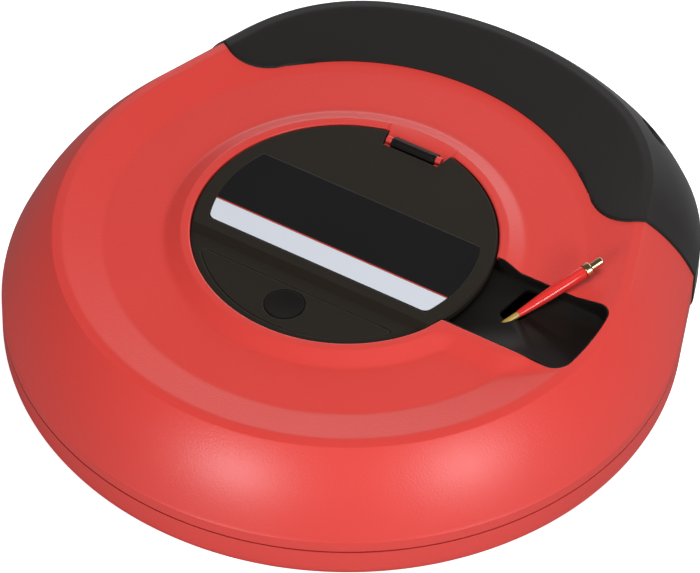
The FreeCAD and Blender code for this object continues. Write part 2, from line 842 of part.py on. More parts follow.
def make_tray():
    """Bowl under the lid with a flange, four screw ears and the pan of the exit pocket."""
    inner = size.bowl_radius.value
    floor = size.bowl_floor.value
    rim = size.tray_rim.value
    pan_floor = size.pocket_floor.value
    gap = size.pocket_gap.value
    thick = size.tray_wall.value
    bowl = Part.makeCylinder(inner + thick, rim - floor + thick, vector(0, 0, floor - thick))
    flange_low = vector(0, 0, rim - FLANGE_THICKNESS)
    flange = Part.makeCylinder(size.flange_radius.value, FLANGE_THICKNESS, flange_low)
    pan = prism(pocket_wire(gap, pan_floor - thick), BEYOND).common(upper_mass(PAN_INSET))
    pan = pan.cut(Part.makeCylinder(size.lid_radius.value + LID_SWEEP, BEYOND, vector(0, 0, rim)))
    solid = bowl.fuse([flange, pan] + [tray_ear(angle) for angle in EARS])
    hollow = Part.makeCylinder(inner, BEYOND, vector(0, 0, floor))
    hollow = hollow.makeFillet(BOWL_ROUND, [e for e in hollow.Edges if abs(e.BoundBox.ZMax - floor) < 0.01])
    basin = prism(pocket_wire(gap + thick, pan_floor), BEYOND)
    rod_ways = [rod_cylinder(ROD_TUNNEL_RADIUS, -16, 6), rod_cylinder(TIP_TUNNEL_RADIUS, 5, 70)]
    hole_low = size.ear_height.value - EAR_HALF / 2
    holes = columns(size.screw_radius.value + CLEARANCE, EAR_HALF, at_ears(hole_low))
    return solid.cut([hollow, basin, lid_swing(), bolt_keeper(), slot_cutter()] + rod_ways + holes)


SLOT_START = (90.2, 0.2)
SLOT_TURN = 79.0


def slot_cutter():
    """Wide end of the exit slot, beside and beyond the place where the rod comes up."""
    width = size.slot_width.value
    length = size.slot_length.value
    bar = Part.makeBox(length, width, BEYOND, vector(0, -width / 2, 0))
    slot = bar.fuse([Part.makeCylinder(width / 2, BEYOND, vector(x, 0, 0)) for x in (0, length)])
    slot.rotate(vector(0, 0), Z_AXIS, SLOT_TURN)
    slot.translate(vector(*SLOT_START, size.ear_height.value))
    return slot


keep(shape(make_tray(), "Tray"), "tray")
group("tray_screws", lambda: screw(TRAY_SCREW_LENGTH),
      [((*polar(size.ear_radius, a), size.ear_height - size.tray_wall - HEAD_HEIGHT), LEVEL) for a in EARS])


GUIDE_RADIUS = 3.0
GUIDE_RUN = (-36, -20)
GUIDE_MIDDLE = -24
GUIDE_CHEEK = (12.0, 2.5, 16.0)
GUIDE_FLANGE = (14.0, 12.0, 2.0)
GUIDE_CLEARANCE = 0.05


def make_exit_guide():
    """Short sleeve that leads the rod up to the slot, hung from the pocket pan by a cheek and flange."""
    solid = rod_cylinder(GUIDE_RADIUS, *GUIDE_RUN)
    top = on_rod(GUIDE_MIDDLE)
    pan_under = size.pocket_floor.value - size.tray_wall.value
    for length, width, height in (GUIDE_CHEEK, GUIDE_FLANGE):
        slab = Part.makeBox(length, width, height, vector(-length / 2, -width / 2, -height))
        slab.rotate(vector(0, 0), Z_AXIS, size.exit_turn.value)
        slab.translate(vector(top.x, top.y, pan_under))
        solid = solid.fuse(slab)
    return solid.cut(rod_cylinder(size.rod_radius.value + GUIDE_CLEARANCE, -BEYOND, 20))


keep(shape(make_exit_guide(), "ExitGuide"), "exit_guide")

# ------------------------------------------------------------------ lid
AXIS_HEIGHT = size.case_height - size.hinge_drop
LID_UNDER = size.case_height - size.lid_thickness
PIN_CLEARANCE = 0.05
WEB_THICKNESS = 1.0
WEB_LAP = 0.2
WEB_RUN = 4.0
LEG_HALF = 1.4
LATCH_SCREW_RADIUS = 1.0
LATCH_SCREW_BITE = 1.5
LATCH_SCREWS = [(x, y) for x in (-12.8, 12.8) for y in (-58.0, -43.0)]


def label_region(gap, bottom, height):
    """Area of the lid that the label covers: a disc between two straight edges."""
    disc = cylinder(size.label_radius - gap, height, (0, 0, bottom))
    band = block((-size.label_radius, size.label_low + gap, bottom),
                 (size.label_radius, size.label_high - gap, Size.of(bottom) + height))
    return common(disc, band)


def lid_recess():
    """Finger recess in front of the lid's middle: a ramp down to a floor with a conical rim."""
    low = size.case_height - size.recess_depth
    dish = cone(size.recess_radius, size.recess_rim, size.recess_depth, (0, 0, low))
    ramp = doc.addObject("Part::Wedge", "Ramp")
    side = size.lid_radius
    ends = {"Xmin": -side, "X2min": -side, "Xmax": side, "X2max": side, "Ymin": 0, "Ymax": size.recess_depth,
            "Zmin": -size.recess_floor_start, "Zmax": side, "Z2min": -size.recess_start, "Z2max": side}
    for prop, amount in ends.items():
        bind(ramp, prop, amount)
    put(ramp, (0, 0, low), FreeCAD.Rotation(X_AXIS, 90))
    return common(dish, ramp)


def lid_knuckle():
    """Knuckle between the lugs, carried by a leg and a web under the lid."""
    half = size.knuckle_half
    back = size.hinge_offset + LEG_HALF
    web_top = LID_UNDER + WEB_LAP
    web_low = web_top - WEB_THICKNESS
    barrel = cylinder(size.hinge_radius, 2 * half, (-half, size.hinge_offset, AXIS_HEIGHT), ALONG_X)
    web = block((-half, size.notch_start - WEB_RUN, web_low), (half, back, web_top))
    leg = block((-half, size.hinge_offset - LEG_HALF, web_low), (half, back, AXIS_HEIGHT))
    return fuse(barrel, web, leg)


def make_lid():
    edge = size.lid_edge_chamfer
    plate = cylinder(size.lid_radius, size.lid_thickness - edge, (0, 0, LID_UNDER))
    crown = cone(size.lid_radius, size.lid_radius - edge, edge, (0, 0, size.case_height - edge))
    notch = block((-size.notch_half, size.notch_start, LID_UNDER - LAP),
                  (size.notch_half, size.lid_radius + LAP, size.case_height + LAP))
    pin_bore = cylinder(size.hinge_pin_radius + PIN_CLEARANCE, 2 * size.lug_outer,
                        (-size.lug_outer, size.hinge_offset, AXIS_HEIGHT), ALONG_X)
    button_bore = cylinder(size.button_radius + CLEARANCE, size.lid_thickness + 2 * LAP,
                           (0, size.button_offset, LID_UNDER - LAP))
    pilots = [cylinder(LATCH_SCREW_RADIUS, LATCH_SCREW_BITE, (x, y, LID_UNDER)) for x, y in LATCH_SCREWS]
    label_seat = label_region(-CLEARANCE, size.case_height - size.label_thickness, size.label_thickness + LAP)
    blank = cut(fuse(plate, crown), notch)
    return cut(fuse(blank, lid_knuckle()), lid_recess(), pin_bore, button_bore, label_seat, *pilots)


keep(make_lid(), "lid")
keep(label_region(0, size.case_height - size.label_thickness, size.label_thickness), "lid_label")

# ------------------------------------------------------------------ hinge pin
turned("hinge_pin", [(0, 0), (size.hinge_pin_radius, 0), (size.hinge_pin_radius, 2 * size.lug_outer),
                     (0, 2 * size.lug_outer)],
       (-size.lug_outer, size.hinge_offset, AXIS_HEIGHT), ALONG_X)

# ------------------------------------------------------------------ push button and latch
BOLT_HALF = 5.8
BOLT_BACK = -45.0
BOLT_SHOULDER = -63.3
NOSE_HALF = 5.0
NOSE_TIP = -68.3
STEM_HALF = 3.8
STEM_BACK = -59.0
STEM_FRONT_LOW = -54.5
SLANT = 5.0
CAP_THICKNESS = 1.7
DISH_RADIUS = 90.0
DISH_DEPTH = 0.4
BUTTON_TOP = size.case_height - size.recess_depth
STEM_LOW = size.bolt_low - 1.5
HOUSING_HALF = 15.2
HOUSING_WALL = 2.0
HOUSING_FRONT = -62.0
HOUSING_BACK = -40.0
HOUSING_FLOOR = size.housing_low + HOUSING_WALL
CHANNEL_HALF = 6.0
CAP_WAY_LOW = 2.9
LATCH_HEAD_LOW = 5.0
LATCH_HEAD_RADIUS = 1.9
LATCH_HEAD_HEIGHT = 1.6


def side_prism(points, half_width):
    """Outline of (y, z) points pulled out sideways to both sides of the middle plane."""
    corners = [FreeCAD.Vector(-half_width, y, z) for y, z in points]
    face = Part.Face(Part.makePolygon(corners + corners[:1]))
    return shape(face.extrude(vector(2 * half_width, 0)))


def make_button():
    """Round dished cap on a stem whose lower front is slanted to push the bolt back."""
    cap = cylinder(size.button_radius, CAP_THICKNESS, (0, size.button_offset, BUTTON_TOP - CAP_THICKNESS))
    dish = doc.addObject("Part::Sphere", "Dish")
    bind(dish, "Radius", DISH_RADIUS)
    put(dish, (0, size.button_offset, BUTTON_TOP + DISH_RADIUS - DISH_DEPTH))
    low = STEM_LOW.value
    top = BUTTON_TOP.value - CAP_THICKNESS / 2
    stem = side_prism([(STEM_BACK, low), (STEM_FRONT_LOW, low), (STEM_FRONT_LOW + SLANT, low + SLANT),
                       (STEM_FRONT_LOW + SLANT, top), (STEM_BACK, top)], STEM_HALF)
    return cut(fuse(cap, stem), dish)


def make_bolt():
    """Flat bolt with a narrower nose and a window whose end is slanted like the button's stem."""
    low = size.bolt_low
    high = low + size.bolt_thickness
    nose = block((-NOSE_HALF, NOSE_TIP, low), (NOSE_HALF, BOLT_SHOULDER + LAP, high))
    plate = block((-BOLT_HALF, BOLT_SHOULDER, low), (BOLT_HALF, BOLT_BACK, high))
    back = STEM_BACK - size.button_travel.value - 3 * CLEARANCE
    ends = [(height, STEM_FRONT_LOW + height - STEM_LOW.value + CLEARANCE)
            for height in (low.value - LAP, high.value + LAP)]
    window = side_prism([(back, ends[0][0]), (ends[0][1], ends[0][0]), (ends[1][1], ends[1][0]),
                         (back, ends[1][0])], STEM_HALF + 2 * CLEARANCE)
    return cut(fuse(nose, plate), window)


def make_housing():
    """Box under the lid that guides the bolt, holds the spring and lets the cap sink in."""
    low = size.housing_low
    outer = block((-HOUSING_HALF, HOUSING_FRONT, low), (HOUSING_HALF, HOUSING_BACK, LID_UNDER))
    inner = block((-CHANNEL_HALF, HOUSING_FRONT + HOUSING_WALL, HOUSING_FLOOR),
                  (CHANNEL_HALF, HOUSING_BACK - HOUSING_WALL, LID_UNDER + LAP))
    nose_way = block((-CHANNEL_HALF, HOUSING_FRONT - LAP, size.bolt_low - CLEARANCE),
                     (CHANNEL_HALF, HOUSING_FRONT + HOUSING_WALL + LAP,
                      size.bolt_low + size.bolt_thickness + CLEARANCE))
    cap_way = cylinder(size.button_radius + 3 * CLEARANCE, size.lid_thickness * 2,
                       (0, size.button_offset, size.bolt_low + CAP_WAY_LOW))
    holes = [cylinder(LATCH_SCREW_RADIUS + PIN_CLEARANCE, BEYOND, (x, y, low - LAP)) for x, y in LATCH_SCREWS]
    head_depth = LATCH_HEAD_LOW + LATCH_HEAD_HEIGHT + LAP
    head_bore = LATCH_HEAD_RADIUS + 2 * CLEARANCE
    heads = [cylinder(head_bore, head_depth, (x, y, low - LAP)) for x, y in LATCH_SCREWS]
    return cut(outer, inner, nose_way, cap_way, *(holes + heads))


keep(make_button(), "lid_button")
keep(make_bolt(), "latch_bolt")
keep(make_housing(), "latch_housing")
group("latch_screws", lambda: screw(LID_UNDER - size.housing_low - LATCH_HEAD_LOW + LATCH_SCREW_BITE,
                                    LATCH_HEAD_HEIGHT, LATCH_SCREW_RADIUS, LATCH_HEAD_RADIUS),
      [((x, y, size.housing_low + LATCH_HEAD_LOW), LEVEL) for x, y in LATCH_SCREWS])

SPRING_RADIUS = 2.6
SPRING_WIRE = 0.35
SPRING_TURNS = 5
SPRING_OFFSET = -56.7


def make_spring(radius, wire, low, high, turns, centre):
    """Coil spring with its wire wound between two heights."""
    helix = Part.makeHelix((high - low - 2 * wire) / turns, high - low - 2 * wire, radius)
    section = Part.Wire(Part.makeCircle(wire, vector(radius, 0), Y_AXIS))
    coil = Part.Wire(helix).makePipeShell([section], True, True)
    coil.translate(vector(centre[0], centre[1], low + wire))
    return coil


keep(shape(make_spring(SPRING_RADIUS, SPRING_WIRE, HOUSING_FLOOR.value, STEM_LOW.value, SPRING_TURNS,
                       (0.0, SPRING_OFFSET)), "Spring"),
     "button_spring")

# ------------------------------------------------------------------ drum and its bearing
HUB_TOP = size.post_top - 0.2
RIM_WALL = 3.5
BASKET_WALL = 2.0
BASKET_GAP = 0.3
FLOOR_OPENINGS = 6
FLOOR_OPENING_RADIUS = 20.0
FLOOR_OPENING_REACH = 64.0
BEARING_CLEARANCE = 0.05
WASHER_START = 6.2
WASHER_WIDTH = 6.8
RETAINING_WASHER_THICKNESS = 1.5
CLAMP_BEARING = 190.0
CLAMP_SCREW_RADIUS = 0.9
CLAMP_SCREW_LENGTH = 10.0
CLAMP_SCREW_HEAD = 1.2
CLAMP_THICKNESS = 2.5
CLAMP_SCREW_SPREAD = 1.6
CLAMP_SCREWS = [CLAMP_BEARING + spread for spread in (-CLAMP_SCREW_SPREAD, CLAMP_SCREW_SPREAD)]
CLAMP_SCREW_REACH = size.drum_rim_radius - RIM_WALL / 2


def make_drum():
    """Dished drum: hub, webbed floor, basket wall and outer rim, with six openings in its floor."""
    owner = body("reel_drum")
    low = size.drum_low
    floor = low + size.drum_floor
    basket = size.coil_inner_radius - size.rod_radius - BASKET_GAP
    outer = size.drum_rim_radius
    revolve(owner, [
        (size.bush_radius, low), (outer, low), (outer, size.drum_rim_top),
        (outer - RIM_WALL, size.drum_rim_top), (outer - RIM_WALL, floor), (basket, floor),
        (basket, size.drum_rim_top), (basket - BASKET_WALL, size.drum_rim_top), (basket - BASKET_WALL, floor),
        (size.hub_radius, floor), (size.hub_radius, HUB_TOP), (size.bush_radius, HUB_TOP),
    ])
    sketch = sketch_on(owner, "XY_Plane", "Opening", low - LAP)
    draw_circle(sketch, FLOOR_OPENING_RADIUS, FLOOR_OPENING_REACH, 0)
    opening = owner.newObject("PartDesign::Pocket", "FloorOpening")
    opening.Profile = sketch
    opening.Length = size.drum_floor.value + 2 * LAP
    opening.Reversed = True
    doc.recompute()
    pattern = owner.newObject("PartDesign::PolarPattern", "FloorOpenings")
    pattern.Originals = [opening]
    pattern.Axis = (plane(owner, "Z_Axis"), [""])
    pattern.Angle = 360
    pattern.Occurrences = FLOOR_OPENINGS
    owner.Tip = pattern
    doc.recompute()
    sketch = sketch_on(owner, "XY_Plane", "ClampPilot", size.drum_rim_top + LAP)
    for bearing in CLAMP_SCREWS:
        draw_circle(sketch, CLAMP_SCREW_RADIUS, *polar(CLAMP_SCREW_REACH, bearing))
    pilots = owner.newObject("PartDesign::Pocket", "ClampPilots")
    pilots.Profile = sketch
    pilots.Length = CLAMP_SCREW_LENGTH - CLAMP_THICKNESS + LAP + CLEARANCE
    doc.recompute()
    return owner


make_drum()
bush_bore = size.post_radius + BEARING_CLEARANCE
washer_bore = size.post_radius + WASHER_START
washer_edge = washer_bore + WASHER_WIDTH
washer_top = size.drum_low - CLEARANCE
screw_bore = size.screw_radius + CLEARANCE
keeper_edge = size.hub_radius - LAP
keeper_top = size.post_top + RETAINING_WASHER_THICKNESS
turned("drum_bush", [(bush_bore, size.drum_low), (size.bush_radius, size.drum_low),
                     (size.bush_radius, HUB_TOP), (bush_bore, HUB_TOP)])
turned("thrust_washer", [(washer_bore, size.wall), (washer_edge, size.wall),
                         (washer_edge, washer_top), (washer_bore, washer_top)])
turned("retaining_washer", [(screw_bore, size.post_top), (keeper_edge, size.post_top),
                            (keeper_edge, keeper_top), (screw_bore, keeper_top)])
turned("retaining_screw", screw_outline(14.0),
       (0, 0, keeper_top + HEAD_HEIGHT), FreeCAD.Rotation(X_AXIS, 180))


# ------------------------------------------------------------------ rod
def make_coil():
    """Nested columns of turns, each wound as a helix, and the lead that climbs to the straight end."""
    radius = size.rod_radius.value
    pitch = size.coil_pitch.value
    low = size.coil_low.value
    columns = []
    for index in range(int(size.coil_columns.value)):
        turn = size.coil_inner_radius.value + index * pitch
        helix = Part.makeHelix(pitch, pitch * size.coil_turns.value, turn)
        section = Part.Wire(Part.makeCircle(radius, vector(turn, 0), Y_AXIS))
        column = Part.Wire(helix).makePipeShell([section], True, True)
        column.translate(vector(0, 0, low))
        columns.append(column)
    return Part.Compound(columns + [make_lead()])


LEAD_BEARING = -140.0
LEAD_LIFT = 0.5
LEVEL_PULL = 55.0
RISING_PULL = 20.0
LEAD_GAP = 0.2


def make_lead():
    """Lead from the top of the coil to the tail of the straight rod."""
    radius = size.rod_radius.value
    end = on_rod(-size.leader_tail.value - LEAD_GAP)
    height = size.drum_rim_top.value + radius + LEAD_LIFT
    start = on_circle(size.coil_inner_radius.value, LEAD_BEARING, height)
    curve = Part.BezierCurve()
    level_end = start + on_circle(LEVEL_PULL, LEAD_BEARING + 90)
    curve.setPoles([start, level_end, end - ROD_WAY * RISING_PULL, end])
    path = Part.Wire(curve.toShape())
    section = Part.Wire(Part.makeCircle(radius, start, on_circle(1, LEAD_BEARING + 90)))
    return path.makePipeShell([section], True, False)


keep(shape(make_coil(), "Coil"), "rod_coil")

leader_length = size.leader_tail + size.leader_end
leader = turned("rod_leader", [(0, 0), (size.rod_radius, 0), (size.rod_radius, leader_length),
                               (0, leader_length)])
leader.Placement = FreeCAD.Placement(on_rod(-size.leader_tail.value), ROD_TURN)

SLEEVE_TAIL_RADIUS = 1.9
SLEEVE_BELLY_RADIUS = 2.95
SLEEVE_BELLY_AT = 20.0
SLEEVE_NOSE_RADIUS = 2.1


def make_sleeve():
    """Spindle-shaped sleeve over the rod behind its end fitting."""
    length = size.sleeve_end.value - size.sleeve_start.value
    bore = size.rod_radius.value
    low = vector(SLEEVE_TAIL_RADIUS, 0, 0)
    belly = vector(SLEEVE_BELLY_RADIUS, 0, SLEEVE_BELLY_AT)
    high = vector(SLEEVE_NOSE_RADIUS, 0, length)
    edges = [Part.Arc(low, belly, high).toShape(),
             Part.makeLine(high, vector(bore, 0, length)),
             Part.makeLine(vector(bore, 0, length), vector(bore, 0, 0)),
             Part.makeLine(vector(bore, 0, 0), low)]
    return Part.Face(Part.Wire(edges)).revolve(vector(0, 0), Z_AXIS, 360)


sleeve = keep(shape(make_sleeve(), "Sleeve"), "tip_sleeve")
sleeve.Placement = FreeCAD.Placement(on_rod(size.sleeve_start.value), ROD_TURN)

COLLAR_LENGTH = 2.8
COLLAR_TAPER = 0.6
STUB_LENGTH = 10.0
STUB_CHAMFER = 0.4
socket = size.leader_end - size.sleeve_end
fitting = turned("tip_fitting", [
    (size.rod_radius, 0), (size.collar_radius, 0), (size.collar_radius, COLLAR_LENGTH),
    (size.collar_radius - COLLAR_TAPER, COLLAR_LENGTH + COLLAR_TAPER),
    (size.stub_radius, COLLAR_LENGTH + COLLAR_TAPER),
    (size.stub_radius, STUB_LENGTH - STUB_CHAMFER), (size.stub_radius - STUB_CHAMFER, STUB_LENGTH),
    (0, STUB_LENGTH), (0, socket), (size.rod_radius, socket)])
fitting.Placement = FreeCAD.Placement(on_rod(size.sleeve_end.value), ROD_TURN)

# ------------------------------------------------------------------ clamp for the rod's captive end
CLAMP_HALF = 7.0
CLAMP_START = 140.5
CLAMP_LIP = (141.0, 144.0)
CLAMP_LIP_DROP = 0.7
CLAMP_HEAD_RADIUS = 1.6
clamp_top = size.drum_rim_top + CLAMP_THICKNESS
clamp_plate = fuse(block((CLAMP_START, -CLAMP_HALF, size.drum_rim_top),
                         (size.drum_rim_radius, CLAMP_HALF, clamp_top)),
                   block((CLAMP_LIP[0], -CLAMP_HALF, size.drum_rim_top - CLAMP_LIP_DROP),
                         (CLAMP_LIP[1], CLAMP_HALF, size.drum_rim_top + LAP)))
clamp_holes = [cylinder(CLAMP_SCREW_RADIUS + PIN_CLEARANCE, CLAMP_SCREW_LENGTH,
                        (*polar(CLAMP_SCREW_REACH, turn), size.drum_rim_top - CLAMP_THICKNESS))
               for turn in (-CLAMP_SCREW_SPREAD, CLAMP_SCREW_SPREAD)]
clamp = keep(cut(clamp_plate, *clamp_holes), "rod_clamp")
clamp.Placement = FreeCAD.Placement(vector(0, 0), FreeCAD.Rotation(Z_AXIS, CLAMP_BEARING))
group("clamp_screws", lambda: screw(CLAMP_SCREW_LENGTH + CLAMP_SCREW_HEAD, CLAMP_SCREW_HEAD,
                                    CLAMP_SCREW_RADIUS, CLAMP_HEAD_RADIUS),
      [((*polar(CLAMP_SCREW_REACH, bearing), clamp_top + CLAMP_SCREW_HEAD), FreeCAD.Rotation(X_AXIS, 180))
       for bearing in CLAMP_SCREWS])

# ------------------------------------------------------------------ write
doc.recompute()
for obj in doc.Objects:
    if "Invalid" in obj.State or "Error" in obj.State:
        raise RuntimeError("%s (%s) failed: %s" % (obj.Name, obj.Label, obj.State))
os.makedirs("parts", exist_ok=True)
for part in PARTS:
    if part.Shape.isNull() or not part.Shape.isValid():
        raise RuntimeError("%s has no valid shape" % part.Label)
    print(part.Label, len(part.Shape.Solids), "solids", round(part.Shape.Volume), "mm3")
    part.Shape.exportStep("parts/%s.step" % part.Label)
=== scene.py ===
"""Looks of the fish tape reel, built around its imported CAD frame.

Shapes are worked out in millimetres and built in metres; the stage is in metres.
"""
import math

import bmesh
import bpy
import numpy as np
from mathutils import Matrix, Vector


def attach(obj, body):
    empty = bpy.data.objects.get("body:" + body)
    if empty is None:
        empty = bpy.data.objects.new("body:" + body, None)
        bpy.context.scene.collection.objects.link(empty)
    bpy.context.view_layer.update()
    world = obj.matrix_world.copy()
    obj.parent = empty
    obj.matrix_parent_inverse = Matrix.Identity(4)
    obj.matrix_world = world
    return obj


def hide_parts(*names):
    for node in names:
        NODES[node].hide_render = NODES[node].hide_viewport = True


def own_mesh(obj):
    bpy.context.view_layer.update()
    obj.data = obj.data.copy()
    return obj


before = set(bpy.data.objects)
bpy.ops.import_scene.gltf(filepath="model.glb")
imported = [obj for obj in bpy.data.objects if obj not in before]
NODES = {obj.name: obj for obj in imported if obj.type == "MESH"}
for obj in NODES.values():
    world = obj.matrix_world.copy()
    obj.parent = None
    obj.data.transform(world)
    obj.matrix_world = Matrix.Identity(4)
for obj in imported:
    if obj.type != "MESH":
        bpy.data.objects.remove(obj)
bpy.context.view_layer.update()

MM = 0.001

# ------------------------------------------------------------------ material helpers


class Shader:
    """A node material under construction."""

    def __init__(self, name):
        self.material = bpy.data.materials.new(name)
        self.material.use_nodes = True
        self.tree = self.material.node_tree
        self.base = self.tree.nodes["Principled BSDF"]

    def node(self, kind, **values):
        made = self.tree.nodes.new(kind)
        for key, value in values.items():
            if key in made.inputs:
                made.inputs[key].default_value = value
            else:
                setattr(made, key, value)
        return made

    def link(self, source, output, target, socket):
        self.tree.links.new(source.outputs[output], target.inputs[socket])

    def mix(self, first, second):
        """Colour mix node; its colours are inputs 6 and 7 and its result is output 2."""
        made = self.node("ShaderNodeMix", data_type="RGBA")
        for socket, colour in ((6, first), (7, second)):
            if colour is not None:
                made.inputs[socket].default_value = colour
        return made

    def set(self, **values):
        for key, value in values.items():
            self.base.inputs[key.replace("_", " ")].default_value = value


def edge_share(shader, radius):
    """Bevelled normal, and how strongly each point lies on an edge, from 0 to 1."""
    rounding = shader.node("ShaderNodeBevel", samples=8, Radius=radius * MM)
    flat = shader.node("ShaderNodeNewGeometry")
    likeness = shader.node("ShaderNodeVectorMath", operation="DOT_PRODUCT")
    shader.link(rounding, "Normal", likeness, 0)
    shader.link(flat, "Normal", likeness, 1)
    share = shader.node("ShaderNodeMapRange")
    share.inputs["From Min"].default_value = 0.995
    share.inputs["From Max"].default_value = 0.80
    shader.link(likeness, "Value", share, "Value")
    return rounding, share


def moulded(name, dark, light, roughness, grain=0.3, grain_size=0.5, edge_wear_and_highlight=0.25, specular=0.4, painted_shade=0.45,
            depth=0.05):
    """Moulded material: slow colour drift, fine speckle and grain, painted shade in corners and creases,
    and paler edges that are partly wear and partly painted highlight.
    """
    shader = Shader(name)
    place = shader.node("ShaderNodeTexCoord")
    drift = shader.node("ShaderNodeTexNoise", Scale=11.0, Detail=4.0)
    shader.link(place, "Object", drift, "Vector")
    fine = shader.node("ShaderNodeTexNoise", Scale=1.0 / (grain_size * MM), Detail=2.0)
    shader.link(place, "Object", fine, "Vector")
    amount = shader.node("ShaderNodeMix", data_type="FLOAT")
    amount.inputs["Factor"].default_value = 0.35
    shader.link(drift, "Fac", amount, "A")
    shader.link(fine, "Fac", amount, "B")
    colour = shader.mix((*dark, 1), (*light, 1))
    shader.link(amount, "Result", colour, "Factor")
    rounding, edge = edge_share(shader, 0.45)
    # painted shade: ambient occlusion darkens the colour towards a darker copy of it in corners, creases
    # and recesses, where shade falls
    corner = shader.node("ShaderNodeAmbientOcclusion", samples=6, Distance=6 * MM)
    shade = shader.node("ShaderNodeMapRange")
    shade.inputs["From Min"].default_value = 0.35
    shade.inputs["From Max"].default_value = 0.95
    shade.inputs["To Min"].default_value = painted_shade
    shade.inputs["To Max"].default_value = 0.0
    shader.link(corner, "AO", shade, "Value")
    corner_shaded = shader.mix(None, (*[0.35 * c for c in dark], 1))
    shader.link(colour, 2, corner_shaded, 6)
    shader.link(shade, "Result", corner_shaded, "Factor")
    # paler edges: partly wear, partly a painted highlight where edges would catch the light
    wear_and_highlight_share = shader.node("ShaderNodeMath", operation="MULTIPLY")
    shader.link(edge, "Result", wear_and_highlight_share, 0)
    wear_and_highlight_share.inputs[1].default_value = edge_wear_and_highlight
    rubbed_and_highlit = shader.mix(None, (*[min(1.0, 1.5 * c + 0.02) for c in light], 1))
    shader.link(corner_shaded, 2, rubbed_and_highlit, 6)
    shader.link(wear_and_highlight_share, "Value", rubbed_and_highlit, "Factor")
    shader.link(rubbed_and_highlit, 2, shader.base, "Base Color")
    bump = shader.node("ShaderNodeBump", Strength=grain, Distance=depth * MM)
    shader.link(fine, "Fac", bump, "Height")
    shader.link(rounding, "Normal", bump, "Normal")
    shader.link(bump, "Normal", shader.base, "Normal")
    spread = shader.node("ShaderNodeMapRange")
    spread.inputs["To Min"].default_value = roughness - 0.05
    spread.inputs["To Max"].default_value = roughness + 0.06
    shader.link(drift, "Fac", spread, "Value")
    shader.link(spread, "Result", shader.base, "Roughness")
    shader.base.inputs["Specular IOR Level"].default_value = specular
    return shader


def metal(name, dark, light, roughness, turned=0.25):
    """Turned or plated metal: the moulded material with finer grain, paler edges of wear and painted
    highlight, and a metallic shine.
    """
    shader = moulded(name, dark, light, roughness, grain=turned, grain_size=0.25, edge_wear_and_highlight=0.5, specular=0.5,
                     painted_shade=0.5)
    shader.set(Metallic=1.0)
    return shader


def paint(node, shader):
    mesh = NODES[node].data
    mesh.materials.clear()
    mesh.materials.append(shader.material)


def smooth(node, angle=32):
    mesh = NODES[node].data
    mesh.shade_smooth()
    mesh.set_sharp_from_angle(angle=math.radians(angle))


BAND_SOUTH = -26.0
BAND_NORTH = -13.2
BAND_CORNER = 2.4
LABEL_LINE = 0.45
LINE_OFFSET = 0.55
LABEL_MARGIN = 65.3


def printed_label():
    """Printed film: near-black ground, a pale band with rounded ends and a thin red line."""
    shader = moulded("label", (0.0045, 0.0042, 0.0046), (0.0058, 0.0054, 0.0060), 0.36, grain=0.06,
                     grain_size=0.3, edge_wear_and_highlight=0.0, specular=0.18, painted_shade=0.2)
    ground = shader.base.inputs["Base Color"].links[0].from_node
    place = shader.node("ShaderNodeTexCoord")
    split = shader.node("ShaderNodeSeparateXYZ")
    shader.link(place, "Object", split, "Vector")

    def math_node(operation, *values):
        made = shader.node("ShaderNodeMath", operation=operation)
        for socket, value in enumerate(values):
            if isinstance(value, (int, float)):
                made.inputs[socket].default_value = value
            else:
                shader.tree.links.new(value, made.inputs[socket])
        return made.outputs[0]

    def length(first, second):
        squares = [math_node("MULTIPLY", value, value) for value in (first, second)]
        return math_node("SQRT", math_node("ADD", *squares))

    north = split.outputs["Y"]
    reach = length(split.outputs["X"], north)
    turn = BAND_CORNER * MM
    over_side = math_node("SUBTRACT", (BAND_SOUTH + BAND_CORNER) * MM, north)
    over_end = math_node("SUBTRACT", reach, LABEL_MARGIN * MM - turn)
    away = length(math_node("MAXIMUM", over_side, 0.0), math_node("MAXIMUM", over_end, 0.0))
    band = math_node("MULTIPLY", math_node("LESS_THAN", away, turn),
                     math_node("LESS_THAN", north, BAND_NORTH * MM))
    from_line = math_node("ABSOLUTE", math_node("SUBTRACT", north, (BAND_NORTH + LINE_OFFSET) * MM))
    line = math_node("MULTIPLY", math_node("LESS_THAN", from_line, LABEL_LINE / 2 * MM),
                     math_node("LESS_THAN", reach, LABEL_MARGIN * MM))
    with_line = shader.mix(None, (0.62, 0.05, 0.03, 1))
    shader.link(ground, 2, with_line, 6)
    shader.tree.links.new(line, with_line.inputs[0])
    with_band = shader.mix(None, (0.54, 0.56, 0.61, 1))
    shader.link(with_line, 2, with_band, 6)
    shader.tree.links.new(band, with_band.inputs[0])
    shader.link(with_band, 2, shader.base, "Base Color")
    return shader


# in each finish below, the edge figure paints paler edges (partly wear, partly painted highlight) and the
# corner figure paints shade into corners and creases
RED = moulded("red_shell", (0.55, 0.042, 0.033), (0.61, 0.050, 0.041), 0.36, grain=0.8, grain_size=0.8,
              edge_wear_and_highlight=0.18, specular=0.40, painted_shade=0.30, depth=0.10)
RUBBER = moulded("grip_rubber", (0.0105, 0.0088, 0.0080), (0.0140, 0.0120, 0.0110), 0.52, grain=0.35,
                 grain_size=0.35, edge_wear_and_highlight=0.35, specular=0.22)
RUBBER.set(Sheen_Weight=0.10, Sheen_Roughness=0.35)
BLACK = moulded("black_plastic", (0.0125, 0.0095, 0.0064), (0.0170, 0.0130, 0.0090), 0.48, grain=0.30,
                grain_size=0.40, edge_wear_and_highlight=0.9, specular=0.16)
TRAY_BLACK = moulded("tray_plastic", (0.0078, 0.0068, 0.0058), (0.0100, 0.0088, 0.0076), 0.40, grain=0.12,
                     grain_size=0.50, edge_wear_and_highlight=0.0, specular=0.08, painted_shade=0.3)
LABEL = printed_label()
